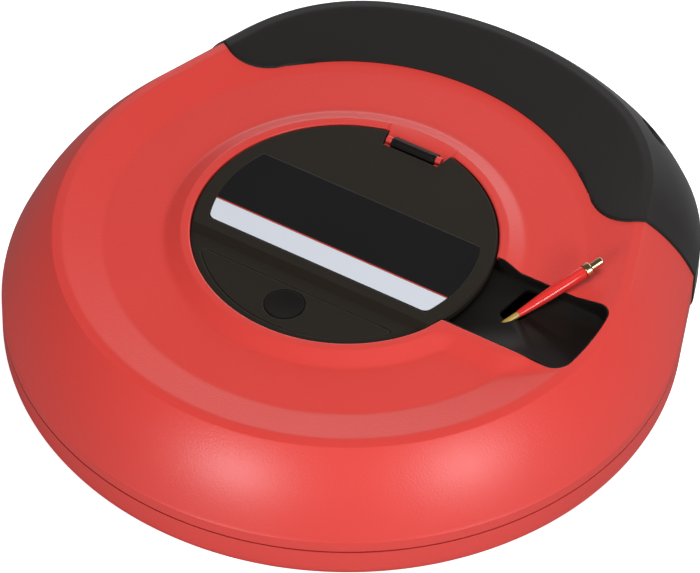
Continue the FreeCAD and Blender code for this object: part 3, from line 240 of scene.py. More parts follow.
DRUM = moulded("drum_plastic", (0.04, 0.04, 0.042), (0.055, 0.055, 0.057), 0.5)
BEARING = moulded("bearing_plastic", (0.66, 0.64, 0.58), (0.74, 0.72, 0.66), 0.35, edge_wear_and_highlight=0.1)
FIBRE = moulded("fibreglass", (0.34, 0.21, 0.035), (0.46, 0.30, 0.06), 0.28, grain=0.2, grain_size=0.3,
                edge_wear_and_highlight=0.1, specular=0.55)
TIP_RED = moulded("tip_red", (0.56, 0.022, 0.018), (0.66, 0.030, 0.024), 0.22, grain=0.05, grain_size=0.4,
                  edge_wear_and_highlight=0.1, specular=0.4, painted_shade=0.2)
STEEL = metal("steel", (0.42, 0.42, 0.43), (0.58, 0.58, 0.59), 0.32)
BRASS = metal("brass", (0.58, 0.40, 0.20), (0.80, 0.60, 0.36), 0.30, turned=0.15)

FINISHES = {
    RED: ["upper_shell", "lower_shell"],
    RUBBER: ["grip_upper", "grip_lower"],
    BLACK: ["lid", "latch_housing"],
    TRAY_BLACK: ["tray", "lid_button"],
    LABEL: ["lid_label"],
    DRUM: ["reel_drum"],
    BEARING: ["exit_guide", "drum_bush", "thrust_washer"],
    FIBRE: ["rod_coil", "rod_leader"],
    TIP_RED: ["tip_sleeve"],
    BRASS: ["tip_fitting"],
}
for name in NODES:
    paint(name, STEEL)
for finish, names in FINISHES.items():
    for name in names:
        paint(name, finish)

# ------------------------------------------------------------------ case outline (as in the CAD, in mm)
CREST = 140.0
GRIP_CREST = 163.5
BLEND = 90.0
BLEND_START = math.radians(20.0)
BLEND_REACH = GRIP_CREST - BLEND
BLEND_END = BLEND_START + math.acos((CREST - BLEND) / BLEND_REACH)
BLEND_CENTRE = np.array([BLEND_REACH * math.cos(BLEND_END), BLEND_REACH * math.sin(BLEND_END)])
TOP = 65.0
SEAM = 20.1
OPENING = 74.0
OPENING_LOW = 61.9
COLLAR_EDGE = 78.5
SLOPE_EDGE = 86.7
VALLEY = 60.95
VALLEY_EDGE = 116.0
CREST_EDGE = 135.3


def unit(bearing):
    """Plan direction of a bearing in radians, or of an array of them."""
    return np.stack([np.cos(bearing), np.sin(bearing)], -1)


class Columns:
    """Stations around the case: circle directions, crest points and outward normals."""

    def __init__(self, step, window=None):
        mirror = np.array([-1.0, 1.0])
        left = BLEND_CENTRE * mirror
        tangent_point = BLEND_CENTRE + BLEND * unit(np.array(BLEND_START))
        tangent_bearing = math.atan2(tangent_point[1], tangent_point[0])
        pi = math.pi
        runs = [
            ("arc", np.zeros(2), CREST, -pi - BLEND_START, BLEND_START, -pi - BLEND_START, BLEND_START),
            ("line", BLEND_CENTRE, BLEND, BLEND_START, BLEND_START, BLEND_START, tangent_bearing),
            ("arc", BLEND_CENTRE, BLEND, BLEND_START, BLEND_END, tangent_bearing, BLEND_END),
            ("arc", np.zeros(2), GRIP_CREST, BLEND_END, pi - BLEND_END, BLEND_END, pi - BLEND_END),
            ("arc", left, BLEND, pi - BLEND_END, pi - BLEND_START, pi - BLEND_END, pi - tangent_bearing),
            ("line", left, BLEND, pi - BLEND_START, pi - BLEND_START, pi - tangent_bearing,
             pi - BLEND_START),
        ]
        circle, crest, normal, angle = [], [], [], []
        for index, (kind, centre, radius, start, end, first, last) in enumerate(runs):
            length = (radius + 20) * abs(end - start) if kind == "arc" else np.linalg.norm(BLEND_CENTRE)
            count = max(4, int(length / step))
            share = np.arange(count) / count
            facing = unit(start + (end - start) * share)
            points = centre + radius * facing
            if kind == "line":
                ends = (CREST * unit(np.array(start)), centre + radius * unit(np.array(start)))
                if index == 5:
                    ends = ends[::-1]
                points = ends[0] + (ends[1] - ends[0]) * share[:, None]
            bearing = first + (last - first) * share
            circle.append(unit(bearing))
            crest.append(points)
            normal.append(facing)
            angle.append(bearing)
        self.circle = np.concatenate(circle)
        self.crest = np.concatenate(crest)
        self.normal = np.concatenate(normal)
        self.bearing = np.concatenate(angle)
        self.closed = window is None
        if window is not None:
            inside = (self.bearing > window[0]) & (self.bearing < window[1])
            for name in ("circle", "crest", "normal", "bearing"):
                setattr(self, name, getattr(self, name)[inside])

    def place(self, reach):
        """Plan position of every column at an unfolded reach in mm: circles inside the valley edge,
        parallels of the outline beyond the crest edge, and a ruled blend between them."""
        if reach <= VALLEY_EDGE:
            return reach * self.circle
        if reach >= CREST_EDGE:
            return self.crest + (reach - CREST) * self.normal
        share = (reach - VALLEY_EDGE) / (CREST_EDGE - VALLEY_EDGE)
        outer = self.crest + (CREST_EDGE - CREST) * self.normal
        return (1 - share) * VALLEY_EDGE * self.circle + share * outer

    def place_low(self, reach):
        """The same for the flat underside, where the inner part is a shrunken outline."""
        inner = 110.0
        if reach >= inner:
            return self.crest + (reach - CREST) * self.normal
        return reach / inner * (self.crest + (inner - CREST) * self.normal)


def rounded(path, step):
    """Polyline of (reach, height, corner radius) points with its corners rounded, cut into short steps."""
    corners = [np.array(p[:2], float) for p in path]
    samples = [corners[0]]

    def run_to(point):
        gap = point - samples[-1]
        count = max(1, int(np.ceil(np.linalg.norm(gap) / step)))
        start = samples[-1]
        for i in range(1, count + 1):
            samples.append(start + gap * i / count)

    for before, corner, after, radius in zip(corners, corners[1:], corners[2:], [p[2] for p in path[1:-1]]):
        back = (before - corner) / np.linalg.norm(before - corner)
        ahead = (after - corner) / np.linalg.norm(after - corner)
        half = math.acos(np.clip(back @ ahead, -1, 1)) / 2
        if radius <= 0 or half > math.pi / 2 - 0.01:
            run_to(corner)
            continue
        cut = radius / math.tan(half)
        limit = 0.45 * min(np.linalg.norm(before - corner), np.linalg.norm(after - corner))
        if cut > limit:
            cut = limit
            radius = cut * math.tan(half)
        run_to(corner + back * cut)
        middle = corner + (back + ahead) / np.linalg.norm(back + ahead) * radius / math.sin(half)
        first = samples[-1] - middle
        last = corner + ahead * cut - middle
        turn = math.pi - 2 * half
        steps = max(3, int(np.ceil(turn / math.radians(9))))
        for i in range(1, steps + 1):
            share = i / steps
            samples.append(middle + (math.sin((1 - share) * turn) * first + math.sin(share * turn) * last)
                           / math.sin(turn))
    run_to(corners[-1])
    return np.array(samples)


FLANK_REACH = 165.0
FLANK_RADIUS = 110.0
FLANK_HIGH = np.array([CREST, TOP - 0.6])
FLANK_LOW = np.array([FLANK_REACH - 0.4, 27.0])
FLANK_CHORD = FLANK_LOW - FLANK_HIGH
FLANK_CENTRE = ((FLANK_HIGH + FLANK_LOW) / 2 + math.sqrt(FLANK_RADIUS ** 2 - FLANK_CHORD @ FLANK_CHORD / 4)
                * np.array([FLANK_CHORD[1], -FLANK_CHORD[0]]) / np.linalg.norm(FLANK_CHORD))


def flank(inset, count):
    """Points of the convex flank from the crest down to the vertical wall, moved in by inset."""
    radius = FLANK_RADIUS - inset
    low = math.asin((FLANK_LOW[1] - FLANK_CENTRE[1]) / FLANK_RADIUS)
    high = math.asin((FLANK_HIGH[1] - FLANK_CENTRE[1]) / FLANK_RADIUS)
    angles = high + (low - high) * np.arange(count + 1) / count
    points = FLANK_CENTRE + radius * unit(angles)
    return [(x, z, 0.0) for x, z in points]


def soft_ramp(x):
    """0 below 0, 1 above 1, straight between, with soft ends."""
    sharp = 14.0
    return (np.logaddexp(0, sharp * x) - np.logaddexp(0, sharp * (x - 1))) / sharp


BRIDGE_EDGE = -40.2
BRIDGE_CORNER = 107.5
BRIDGE_TURN = math.radians(28.0)
BRIDGE_SLOPE = 9.5
BRIDGE_SOFTNESS = 5.0
BRIDGE_WEST = 50.0
BRIDGE_NORTH = 2.0


def bridge_share(x, y):
    """How far a point of the sunken ring is raised to the plateau's height beside the pocket."""
    straight = y - BRIDGE_EDGE
    slanted = (BRIDGE_CORNER - x) * math.sin(BRIDGE_TURN) + straight * math.cos(BRIDGE_TURN)
    gap = np.clip(0.5 + 0.5 * (slanted - straight) / BRIDGE_SOFTNESS, 0, 1)
    inside = slanted + (straight - slanted) * gap - BRIDGE_SOFTNESS * gap * (1 - gap) * 0.5
    share = soft_ramp(inside / BRIDGE_SLOPE)
    return share * (x > BRIDGE_WEST) * (y < BRIDGE_NORTH)


def shape_top(x, y, z, reach):
    """The bridge beside the pocket, added to the plain turned top of the case."""
    if reach < CREST_EDGE and z.min() > VALLEY - 1:
        z = z + (TOP - z) * bridge_share(x, y)
    return z


def grid_faces(rows, columns, wrap_rows, wrap_columns):
    """Four-cornered faces over a grid of points, which may close on itself either way."""
    row = np.arange(rows if wrap_rows else rows - 1)
    column = np.arange(columns if wrap_columns else columns - 1)
    row, column = (a.ravel() for a in np.meshgrid(row, column, indexing="ij"))
    next_row = (row + 1) % rows
    next_column = (column + 1) % columns
    return np.stack([row * columns + column, next_row * columns + column,
                     next_row * columns + next_column, row * columns + next_column], -1)


def mesh_object(name, vertices, faces):
    """Object from arrays of vertices in mm and faces."""
    mesh = bpy.data.meshes.new(name)
    mesh.from_pydata((np.asarray(vertices) * MM).tolist(), [], [list(f) for f in faces])
    mesh.update()
    made = bpy.data.objects.new(name, mesh)
    bpy.context.scene.collection.objects.link(made)
    return made


def face_outwards(piece):
    work = bmesh.new()
    work.from_mesh(piece.data)
    bmesh.ops.recalc_face_normals(work, faces=work.faces)
    work.to_mesh(piece.data)
    work.free()


def skin_points(columns, profile, place, shape=None):
    """Grid of points, one row for each (reach, height) of the profile."""
    rows = []
    for reach, height in profile:
        plan = place(reach)
        z = np.full(len(plan), height)
        if shape is not None:
            z = shape(plan[:, 0], plan[:, 1], z, reach)
        rows.append(np.column_stack([plan, z]))
    return np.array(rows)


def apply_modifiers(piece):
    bpy.context.view_layer.update()
    graph = bpy.context.evaluated_depsgraph_get()
    mesh = bpy.data.meshes.new_from_object(piece.evaluated_get(graph))
    piece.modifiers.clear()
    piece.data = mesh


def boolean(piece, tools, operation="DIFFERENCE"):
    for tool in tools:
        change = piece.modifiers.new("Cut", "BOOLEAN")
        change.operation = operation
        change.solver = "EXACT"
        change.object = tool
    apply_modifiers(piece)
    for tool in tools:
        bpy.data.objects.remove(tool)


def between_rings(name, first, second):
    """Closed body between two matching rings of points in mm."""
    count = len(first)
    sides = [(i, (i + 1) % count, count + (i + 1) % count, count + i) for i in range(count)]
    ends = [tuple(range(count))[::-1], tuple(range(count, 2 * count))]
    made = mesh_object(name, list(first) + list(second), sides + ends)
    face_outwards(made)
    return made


def prism_object(name, outline, low, high):
    """Closed prism over a plan outline of points in mm."""
    return between_rings(name, *[[(x, y, z) for x, y in outline] for z in (low, high)])


def side_prism(name, outline, half):
    """Closed prism of (y, z) points drawn out to both sides of the middle plane."""
    return between_rings(name, *[[(x, y, z) for y, z in outline] for x in (-half, half)])


def box_object(name, low, high):
    outline = [(low[0], low[1]), (high[0], low[1]), (high[0], high[1]), (low[0], high[1])]
    return prism_object(name, outline, low[2], high[2])


def rod_object(name, start, end, radius, sides=32):
    """Closed cylinder between two points in mm."""
    start, end = Vector(start), Vector(end)
    axis = (end - start).normalized()
    side = axis.orthogonal().normalized()
    rise = axis.cross(side)
    ring = [math.cos(a) * side + math.sin(a) * rise for a in np.arange(sides) * 2 * math.pi / sides]
    return between_rings(name, *[[tuple(p + r * radius) for r in ring] for p in (start, end)])


def arc_points(centre, radius, start, end, count):
    angles = np.radians(np.linspace(start, end, count))
    return [(centre[0] + radius * math.cos(a), centre[1] + radius * math.sin(a)) for a in angles]


POCKET_SOUTH = -26.5
POCKET_NORTH = 23.8
POCKET_REACH = 135.6
POCKET_TURN = 9.0


def pocket_outline(gap=0.0, start=60.0):
    """Plan outline of the exit pocket, moved in by gap: straight sides, end on a circle about the lid."""
    low, high = POCKET_SOUTH + gap, POCKET_NORTH - gap
    reach, turn = POCKET_REACH - gap, POCKET_TURN - gap
    corners = []
    for edge, side in ((low, -1), (high, 1)):
        north = edge - side * turn
        east = math.sqrt((reach - turn) ** 2 - north ** 2)
        corners.append(((east, north), math.degrees(math.atan2(north, east))))
    (south_centre, south), (north_centre, north) = corners
    outline = [(start, low)]
    outline += arc_points(south_centre, turn, -90, south, 14)
    outline += arc_points((0, 0), reach, south, north, 30)[1:-1]
    outline += arc_points(north_centre, turn, north, 90, 14)
    return outline + [(start, high)]


EXIT = np.array([91.3, -3.8, 55.5])
EXIT_TURN = math.radians(62.6)
EXIT_RISE = math.radians(14.6)
ROD_WAY = np.array([*(math.cos(EXIT_RISE) * unit(EXIT_TURN)), math.sin(EXIT_RISE)])


def on_rod(distance):
    return EXIT + ROD_WAY * distance


# the eyes are a little wider and higher than in the CAD, which keeps them in sight over the flank's turn
EYE_BEARING = 30
EYE_HEIGHT = 51.5
EYE_RADIUS = 5.2
EYE_HALF = 4.5
EYE_START = GRIP_CREST - 6
EYE_REACH = 40


def strap_eye_cutters(spare=0.0):
    """Stadium-shaped cutters, wider by spare, that point out through both sides of the grip's flank."""
    radius = EYE_RADIUS + spare
    rim = arc_points((EYE_HALF, 0), radius, -90, 90, 13) + arc_points((-EYE_HALF, 0), radius, 90, 270, 13)
    tools = []
    for side in (1, -1):
        out = np.array([*unit(math.radians(90 - side * EYE_BEARING)), 0])
        along = np.array([-out[1], out[0], 0])
        rings = [[out * reach + along * a + np.array([0, 0, EYE_HEIGHT + b]) for a, b in rim]
                 for reach in (EYE_START, EYE_START + EYE_REACH)]
        tools.append(between_rings("Eye", *rings))
    return tools


STEP = 1.3
WALL = 3.0
SEAM_GAP = 0.45
SEAM_DEPTH = 1.2
WALL_HEAD = [(FLANK_REACH, 26.4, 0.3)]
LIP = [(FLANK_REACH, SEAM + SEAM_GAP, 0.15), (FLANK_REACH - SEAM_DEPTH, SEAM + SEAM_GAP, 0),
       (FLANK_REACH - SEAM_DEPTH, SEAM, 0)]
LIP_LOW = [(x, 2 * SEAM - z, 0.15) for x, z, _ in LIP[:2]] + [LIP[2]]


def top_profile(start, step):
    """Rounded section of the case's outer skin from the lid opening over the crest down to the seam."""
    path = [(OPENING, OPENING_LOW, 0), (OPENING, TOP, 1.2), (COLLAR_EDGE, TOP, 2.5),
            (SLOPE_EDGE, VALLEY, 6.0), (VALLEY_EDGE, VALLEY, 9.0), (CREST_EDGE, TOP, 5.0)]
    path += [(x, z, 0.5 if i == 0 else 0) for i, (x, z, _) in enumerate(flank(0, 40))]
    points = rounded(path + WALL_HEAD + LIP, step)
    return points[points[:, 0] > start]


HINGE_OFFSET = 66.0
HINGE_HEIGHT = TOP - 0.8
LUG_RADIUS = 2.0
BAR_FRONT = 63.4
BAR_TOP = 65.6
BAR_BACK = 69.6
BAR_HALF = 12.1
LUG_INNER = 12.4
LUG_OUTER = 15.2
DIP_HALF = 19.0
DIP_FRONT = HINGE_OFFSET - 4.0
DIP_LOW = TOP - 2.2
DIP_BACK = 78.5
PLATE_BACK = 75.0
PLATE_FLARE = 2.8
PIN_BORE = 1.03
BAR_GAP = 0.5
CUT_LOW = 40.0
CUT_HIGH = 80.0


def along_hinge(name, start, end, radius):
    return rod_object(name, (start, HINGE_OFFSET, HINGE_HEIGHT), (end, HINGE_OFFSET, HINGE_HEIGHT), radius)


def add_hinge(piece):
    """Plate, ramp, lugs and pin bore of the lid hinge."""
    rise = (TOP - DIP_LOW) / (DIP_BACK - DIP_FRONT)
    wide = LUG_OUTER + PLATE_FLARE
    plate = [(-LUG_OUTER, DIP_FRONT), (LUG_OUTER, DIP_FRONT), (wide, PLATE_BACK), (-wide, PLATE_BACK)]
    plate_top = DIP_LOW + rise * (PLATE_BACK - DIP_FRONT)
    boolean(piece, [prism_object("Plate", plate, OPENING_LOW, plate_top)], "UNION")
    before = DIP_FRONT - 2
    ramp = [(before, DIP_LOW - 2 * rise), (DIP_BACK, TOP), (DIP_BACK, TOP + 9), (before, TOP + 9)]
    room = box_object("Room", (-LUG_INNER, 50, CUT_LOW), (LUG_INNER, BAR_BACK + BAR_GAP, CUT_HIGH))
    boolean(piece, [room, side_prism("Ramp", ramp, DIP_HALF)])
    boolean(piece, [along_hinge("Lug", side * LUG_INNER, side * LUG_OUTER, LUG_RADIUS) for side in (-1, 1)],
            "UNION")
    boolean(piece, [along_hinge("Bore", -20, 20, PIN_BORE)])


ROD_GROOVE = 3.4
EYE_SPARE = 3.0


def upper_shell():
    """Red upper half: outer and inner sheet, hinge, pocket, groove under the rod, eye openings."""
    columns = Columns(STEP)
    outer = top_profile(0, STEP)
    inner = np.array([(FLANK_REACH - WALL, SEAM)] + [(x, z) for x, z, _ in flank(WALL, 10)][::-1]
                     + [(CREST_EDGE, TOP - WALL), (VALLEY_EDGE, VALLEY - WALL), (SLOPE_EDGE, VALLEY - WALL),
                        (COLLAR_EDGE + 0.5, OPENING_LOW)])
    rows = np.concatenate([skin_points(columns, outer, columns.place, shape_top),
                           skin_points(columns, inner, columns.place)])
    count = rows.shape[1]
    piece = mesh_object("upper_shell_skin", rows.reshape(-1, 3), grid_faces(len(rows), count, True, True))
    face_outwards(piece)
    add_hinge(piece)
    tools = [prism_object("Pocket", pocket_outline(), CUT_LOW, CUT_HIGH),
             rod_object("Groove", on_rod(10), on_rod(60), ROD_GROOVE)]
    boolean(piece, tools + strap_eye_cutters(EYE_SPARE))
    return piece


GRIP_HALF = math.radians(55.5)
GRIP_INNER = 121.5
GRIP_TURN = 19.0
GRIP_PROUD = 0.9
GRIP_SUNK = 1.0
GRIP_BORDER = 1.2
GRIP_BACK = 0.5
GRIP_STEP = 0.7


def grip_distance(x, y):
    """Plan distance inside the border of the grip cover."""
    reach = np.hypot(x, y)
    from_end = reach * np.sin(GRIP_HALF - np.abs(np.arctan2(x, y)))
    from_inner = reach - GRIP_INNER
    short_of_end = np.maximum(GRIP_TURN - from_end, 0)
    short_of_inner = np.maximum(GRIP_TURN - from_inner, 0)
    corner = GRIP_TURN - np.hypot(short_of_end, short_of_inner)
    in_corner = (from_end < GRIP_TURN) & (from_inner < GRIP_TURN)
    return np.where(in_corner, corner, np.minimum(from_end, from_inner))


def closed_body(name, outside, inside, faces):
    """Closed mesh from two matching sheets of points and the outer sheet's faces."""
    count = len(outside)
    edges = {(f[k], f[(k + 1) % 4]) for f in faces.tolist() for k in range(4)}
    rim = [(b, a, a + count, b + count) for a, b in edges if (b, a) not in edges]
    piece = mesh_object(name, np.concatenate([outside, inside]),
                        faces.tolist() + (faces[:, ::-1] + count).tolist() + sorted(rim))
    work = bmesh.new()
    work.from_mesh(piece.data)
    bmesh.ops.delete(work, geom=[v for v in work.verts if not v.link_faces], context="VERTS")
    work.to_mesh(piece.data)
    work.free()
    return piece


def grip_cover(name, profile, end_distance=None):
    """Soft cover over a stretch of the case's skin: proud of it, with rounded borders that dive into it."""
    columns = Columns(GRIP_STEP, (math.radians(25), math.radians(155)))
    grid = skin_points(columns, profile, columns.place)
    normal = np.cross(np.gradient(grid, axis=0), np.gradient(grid, axis=1))
    normal /= np.linalg.norm(normal, axis=2, keepdims=True)
    x, y = grid[..., 0], grid[..., 1]
    inside = grip_distance(x, y)
    probe = 0.05
    probed = np.stack([grip_distance(x + probe, y), grip_distance(x, y + probe)], -1)
    toward = (probed - inside[..., None]) / probe
    on_border = np.abs(inside) < 0.5 * GRIP_STEP
    grid[on_border, :2] -= (inside[..., None] * toward)[on_border]
    inside[on_border] = 0
    if end_distance is not None:
        inside = np.minimum(inside, end_distance[:, None])
    share = np.clip(inside / GRIP_BORDER, 0, 1)
    dive = np.clip(-inside / (0.5 * GRIP_STEP), 0, 1)
    lift = GRIP_PROUD * np.sqrt(1 - (1 - share) ** 2) - GRIP_SUNK * dive
    outside = (grid + normal * lift[..., None]).reshape(-1, 3)
    back = (grid - normal * (GRIP_SUNK + GRIP_BACK)).reshape(-1, 3)
    faces = grid_faces(*grid.shape[:2], False, False)
    return closed_body(name, outside, back, faces[inside.ravel()[faces].max(1) > -0.1])


def grip_upper():
    """Soft cover over the top and flank of the upper half, with its two strap eyes."""
    piece = grip_cover("grip_upper_skin", top_profile(GRIP_INNER - 3, GRIP_STEP))
    boolean(piece, strap_eye_cutters())
    return piece


BASE_ROUND = 10.0
BASE_CENTRE = (FLANK_REACH - BASE_ROUND, BASE_ROUND)
GRIP_LOW_ANGLE = -28.0


def base_turn(count, start=-90.0, inset=0.0):
    return arc_points(BASE_CENTRE, BASE_ROUND - inset, start, 0, count)


def grip_lower():
    """Soft cover below the seam, down to the turn of the base."""
    profile = rounded([(x, z, 0) for x, z in base_turn(12, GRIP_LOW_ANGLE)] + LIP_LOW, GRIP_STEP)
    lengths = np.concatenate([[0], np.cumsum(np.linalg.norm(np.diff(profile, axis=0), axis=1))])
    return grip_cover("grip_lower_skin", profile[::-1], (lengths - 0.5)[::-1])


FLOOR_RINGS = (20.0, 60.0, 110.0, 130.0, 145.0)
BOSSES = [(157.5, a) for a in (-110, -70, -28, 8, 172, 208)] + [(181.0, a) for a in (70, 110)]
SCREW_HEAD = 3.2
SCREW_DEPTH = 5.0


def lower_shell():
    """Red lower half: floor with rounded edge, inner sheet and the counterbores of the case screws."""
    columns = Columns(STEP)
    outer = [(reach, 0.0) for reach in FLOOR_RINGS] + base_turn(12)
    outer += [(x, z) for x, z, _ in LIP_LOW]
    inner = [(FLANK_REACH - WALL, SEAM)] + base_turn(6, inset=WALL)[::-1]
    inner += [(reach, WALL) for reach in FLOOR_RINGS[::-1]]
    rows = skin_points(columns, outer + inner, columns.place_low)
    count = rows.shape[1]
    faces = [list(f) for f in grid_faces(len(rows), count, False, True)]
    faces.append(list(range(count)))
    faces.append(list(range((len(rows) - 1) * count, len(rows) * count)))
    piece = mesh_object("lower_shell_skin", rows.reshape(-1, 3), faces)
    face_outwards(piece)
    tools = []
    for reach, bearing in BOSSES:
        x, y = reach * unit(math.radians(bearing))
        tools.append(rod_object("Head", (x, y, -1), (x, y, SCREW_DEPTH), SCREW_HEAD))
    boolean(piece, tools)
    return piece


def copy_of(node):
    """Watertight copy of a CAD node's mesh as a piece of its own."""
    source = NODES[node]
    piece = bpy.data.objects.new(node + "_skin", source.data.copy())
    piece.matrix_world = source.matrix_world.copy()
    bpy.context.scene.collection.objects.link(piece)
    work = bmesh.new()
    work.from_mesh(piece.data)
    bmesh.ops.remove_doubles(work, verts=work.verts, dist=0.002 * MM)
    work.to_mesh(piece.data)
    work.free()
    return piece


BAR_LOW = 61.1
BUTTON_OFFSET = -55.4
BUTTON_TOP = 63.2
BUTTON_GROOVE = 10.15
GROOVE_DEPTH = 0.9
STEP_TOP = -32.5
STEP_FOOT = -37.0
PANEL_EDGE = -43.3
PANEL_RADIUS = 70.3
PANEL_TURN = 2.5
PANEL_LINE = 0.9
PANEL_DEPTH = 0.45
LID_REACH = 85.0


def half_moon(gap):
    """Outline of the finger panel: a chord and an arc with rounded corners, moved in by gap."""
    turn = PANEL_TURN - gap
    north = PANEL_EDGE - gap - turn
    east = math.sqrt((PANEL_RADIUS - gap - turn) ** 2 - north ** 2)
    lean = math.degrees(math.atan2(north, east))
    outline = arc_points((0, 0), PANEL_RADIUS - gap, -180 - lean, lean, 60)
    outline += arc_points((east, north), turn, lean, 90, 12)[1:]
    outline += arc_points((-east, north), turn, 90, 180 - lean, 12)[:-1]
    return outline


def lid():
    """The lid with a full hinge bar, a lower front segment, its fine panel line and the button's groove."""
    piece = copy_of("lid")
    bar = [(BAR_FRONT, 60.6), (BAR_FRONT, 63.8), (65.0, BAR_TOP), (67.0, BAR_TOP), (BAR_BACK, 64.4),
           (BAR_BACK, 61.8), (67.4, 60.6)]
    boolean(piece, [side_prism("Bar", bar, BAR_HALF)], "UNION")
    edge = LUG_OUTER + 0.3
    wedge = [(edge, DIP_FRONT), (edge + PLATE_FLARE, PLATE_BACK), (LUG_OUTER - 2, PLATE_BACK)]
    boolean(piece, [prism_object("Flare", [(side * x, y) for x, y in wedge], CUT_LOW, CUT_HIGH)
                    for side in (-1, 1)])
    front = [(STEP_TOP, TOP), (STEP_FOOT, BUTTON_TOP), (-LID_REACH, BUTTON_TOP), (-LID_REACH, TOP + 5),
             (STEP_TOP, TOP + 5)]
    line = prism_object("Line", half_moon(0), BUTTON_TOP - PANEL_DEPTH, TOP)
    boolean(line, [prism_object("Island", half_moon(PANEL_LINE), BUTTON_TOP - 2, TOP + 2)])
    groove = rod_object("Shadow", (0, BUTTON_OFFSET, BUTTON_TOP - GROOVE_DEPTH),
                        (0, BUTTON_OFFSET, BUTTON_TOP + 3), BUTTON_GROOVE, 64)
    boolean(piece, [side_prism("Front", front, LID_REACH)])
    boolean(piece, [line, groove])
    return piece


def darken_bar(piece):
    """Give the lid's hinge bar the tray's darker finish."""
    piece.data.materials.append(TRAY_BLACK.material)
    for face in piece.data.polygons:
        x, y, z = (piece.matrix_world @ face.center) / MM
        if y > HINGE_OFFSET - 3 and abs(x) < BAR_HALF + 0.1 and z > BAR_LOW:
            face.material_index = 1


# just above the tray's own floor, so that the cut leaves it whole
PAN_FLOOR = 57.03
PAN_RIM = 0.8
PAN_START = 66.0


def tray():
    """The tray with the rim of its exit pocket drawn thin, as it looks from above."""
    piece = copy_of("tray")
    boolean(piece, [prism_object("Basin", pocket_outline(PAN_RIM, PAN_START), PAN_FLOOR, CUT_HIGH)])
    return piece


SLEEVE_START = 7.0
SLEEVE_WIDEST = 34.0
SLEEVE_END = 45.5
SLEEVE_SLIM = 1.75
SLEEVE_FULL = 3.1


def sleeve():
    """Turned sleeve of the rod's tip: slim at the rod, swelling in a curve, drawn in at the collar."""
    sides = 48
    axis = Vector(ROD_WAY)
    across = axis.orthogonal().normalized()
    rise = axis.cross(across)
    stations = [(SLEEVE_START, 1.3), (SLEEVE_START, SLEEVE_SLIM - 0.25)]
    for share in np.linspace(0.0, 1.0, 16):
        place = SLEEVE_START + 0.3 + (SLEEVE_WIDEST - SLEEVE_START - 0.3) * share
        stations.append((place, SLEEVE_SLIM + (SLEEVE_FULL - SLEEVE_SLIM) * math.sin(share * math.pi / 2)))
    stations += [(SLEEVE_END - 1.2, SLEEVE_FULL - 0.05), (SLEEVE_END - 0.3, SLEEVE_FULL - 0.25),
                 (SLEEVE_END, SLEEVE_FULL - 0.6), (SLEEVE_END, 1.3)]
    points = []
    for distance, radius in stations:
        middle = Vector(on_rod(distance))
        for turn in np.arange(sides) * 2 * math.pi / sides:
            points.append(tuple(middle + radius * (math.cos(turn) * across + math.sin(turn) * rise)))
    piece = mesh_object("tip_sleeve_skin", points, grid_faces(len(stations), sides, True, True))
    face_outwards(piece)
    return piece


def dress(piece, node, material, angle=32, body="case"):
    """Finish a piece that stands for a CAD node."""
    piece.data.materials.clear()
    piece.data.materials.append(material.material)
    piece.data.shade_smooth()
    piece.data.set_sharp_from_angle(angle=math.radians(angle))
    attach(piece, body)
    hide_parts(node)
    return piece


# ------------------------------------------------------------------ camera, light and floor
TURN = math.radians(29.8)
TILT = math.radians(45.6)
ROLL = math.radians(1.52)
LENS = 257.14
SENSOR = 36.0
DISTANCE = 2.364
AIM = Vector((0.0032, -0.0371, 0.065))


def add_camera():
    turn = Matrix.Rotation(TURN, 3, "Z")
    ahead = Vector((0, math.cos(TILT), -math.sin(TILT)))
    right = Vector((1, 0, 0))
    up = Vector((0, math.sin(TILT), math.cos(TILT)))
    side = math.cos(ROLL) * right + math.sin(ROLL) * up
    rise = -math.sin(ROLL) * right + math.cos(ROLL) * up
    axes = Matrix((turn @ side, turn @ rise, turn @ -ahead)).transposed()
    data = bpy.data.cameras.new("Camera")
    data.sensor_width = SENSOR
    data.lens = LENS
    data.clip_end = 20
    camera = bpy.data.objects.new("Camera", data)
    camera.matrix_world = Matrix.Translation(turn @ (AIM - ahead * DISTANCE)) @ axes.to_4x4()
    bpy.context.scene.collection.objects.link(camera)
    bpy.context.scene.camera = camera


def area_light(name, place, target, size, power, colour=(1, 1, 1)):
    data = bpy.data.lights.new(name, "AREA")
    data.shape = "RECTANGLE"
    data.size, data.size_y = size
    data.energy = power
    data.color = colour
    lamp = bpy.data.objects.new(name, data)
    lamp.location = place
    lamp.rotation_euler = (Vector(target) - Vector(place)).to_track_quat("-Z", "Y").to_euler()
    bpy.context.scene.collection.objects.link(lamp)
    return lamp


# angles are in degrees, lengths in metres, power in watts
LIGHTS = (
    # name, bearing, elevation, distance, width, height, power, colour, seen in reflections
    ("Front left", -92.0, 22.0, 1.8, 0.50, 0.40, 15.5, (0.93, 0.96, 1.0), True),
    ("Front right", -21.0, 23.0, 1.8, 0.50, 0.40, 15.0, (0.93, 0.96, 1.0), True),
    ("Overhead", 20.0, 78.0, 1.8, 1.0, 1.0, 24.0, (1.0, 1.0, 1.0), False),
    ("Backdrop", 102.0, 11.0, 2.0, 2.6, 1.30, 24.0, (0.97, 0.98, 1.0), True),
)


def add_lights():
    for name, bearing, elevation, distance, width, height, power, colour, mirrored in LIGHTS:
        rise = math.radians(elevation)
        place = distance * Vector((*(math.cos(rise) * unit(math.radians(bearing))), math.sin(rise)))
        lamp = area_light(name, place, (0, 0, 0), (width, height), power, colour)
        lamp.visible_glossy = mirrored
        lamp.visible_camera = False


FLOOR_HALF = 6.0
FLOOR_DROP = 0.0002


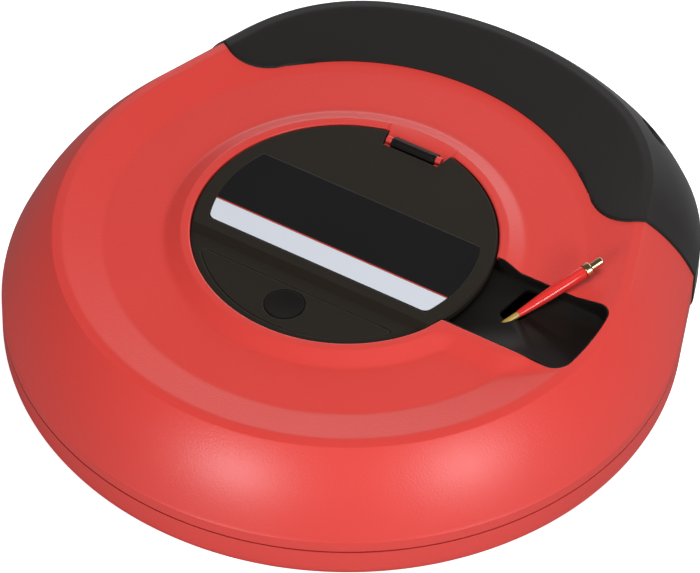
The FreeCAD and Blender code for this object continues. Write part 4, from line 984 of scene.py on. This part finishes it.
def floor_material():
    """White to the camera, grey in reflections and see-through from below."""
    shader = Shader("floor")
    shader.set(Roughness=0.9, Emission_Color=(1, 1, 1, 1))
    path = shader.node("ShaderNodeLightPath")
    tone = shader.mix((0.80, 0.80, 0.80, 1), (0.18, 0.18, 0.18, 1))
    shader.link(path, "Is Glossy Ray", tone, "Factor")
    shader.link(tone, 2, shader.base, "Base Color")
    below = shader.node("ShaderNodeNewGeometry")
    open_side = shader.node("ShaderNodeMath", operation="SUBTRACT")
    open_side.inputs[0].default_value = 1.0
    shader.link(below, "Backfacing", open_side, 1)
    shader.link(open_side, "Value", shader.base, "Alpha")
    glow = shader.node("ShaderNodeMapRange")
    glow.inputs["To Min"].default_value = 0.0
    glow.inputs["To Max"].default_value = 0.8
    shader.link(path, "Is Camera Ray", glow, "Value")
    shader.link(glow, "Result", shader.base, "Emission Strength")
    return shader.material


def add_stage():
    corners = [(x * FLOOR_HALF, y * FLOOR_HALF, 0) for x, y in ((-1, -1), (1, -1), (1, 1), (-1, 1))]
    mesh = bpy.data.meshes.new("Floor")
    mesh.from_pydata(corners, [], [(0, 1, 2, 3)])
    mesh.materials.append(floor_material())
    floor = bpy.data.objects.new("Floor", mesh)
    floor.location.z = -FLOOR_DROP
    bpy.context.scene.collection.objects.link(floor)
    world = bpy.data.worlds.new("World")
    world.use_nodes = True
    world.node_tree.nodes["Background"].inputs["Color"].default_value = (1, 1, 1, 1)
    world.node_tree.nodes["Background"].inputs["Strength"].default_value = 0.10
    bpy.context.scene.world = world
    bpy.context.scene.view_settings.view_transform = "Standard"


# ------------------------------------------------------------------ the pieces
for name in NODES:
    smooth(name)
dress(upper_shell(), "upper_shell", RED)
dress(lower_shell(), "lower_shell", RED)
dress(grip_upper(), "grip_upper", RUBBER)
dress(grip_lower(), "grip_lower", RUBBER)
darken_bar(dress(lid(), "lid", BLACK, angle=9, body="lid"))
dress(tray(), "tray", TRAY_BLACK, angle=20)
dress(sleeve(), "tip_sleeve", TIP_RED, body="rod")
spring = dress(copy_of("button_spring"), "button_spring", STEEL, body="lid")
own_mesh(spring)
add_camera()
add_stage()
add_lights()
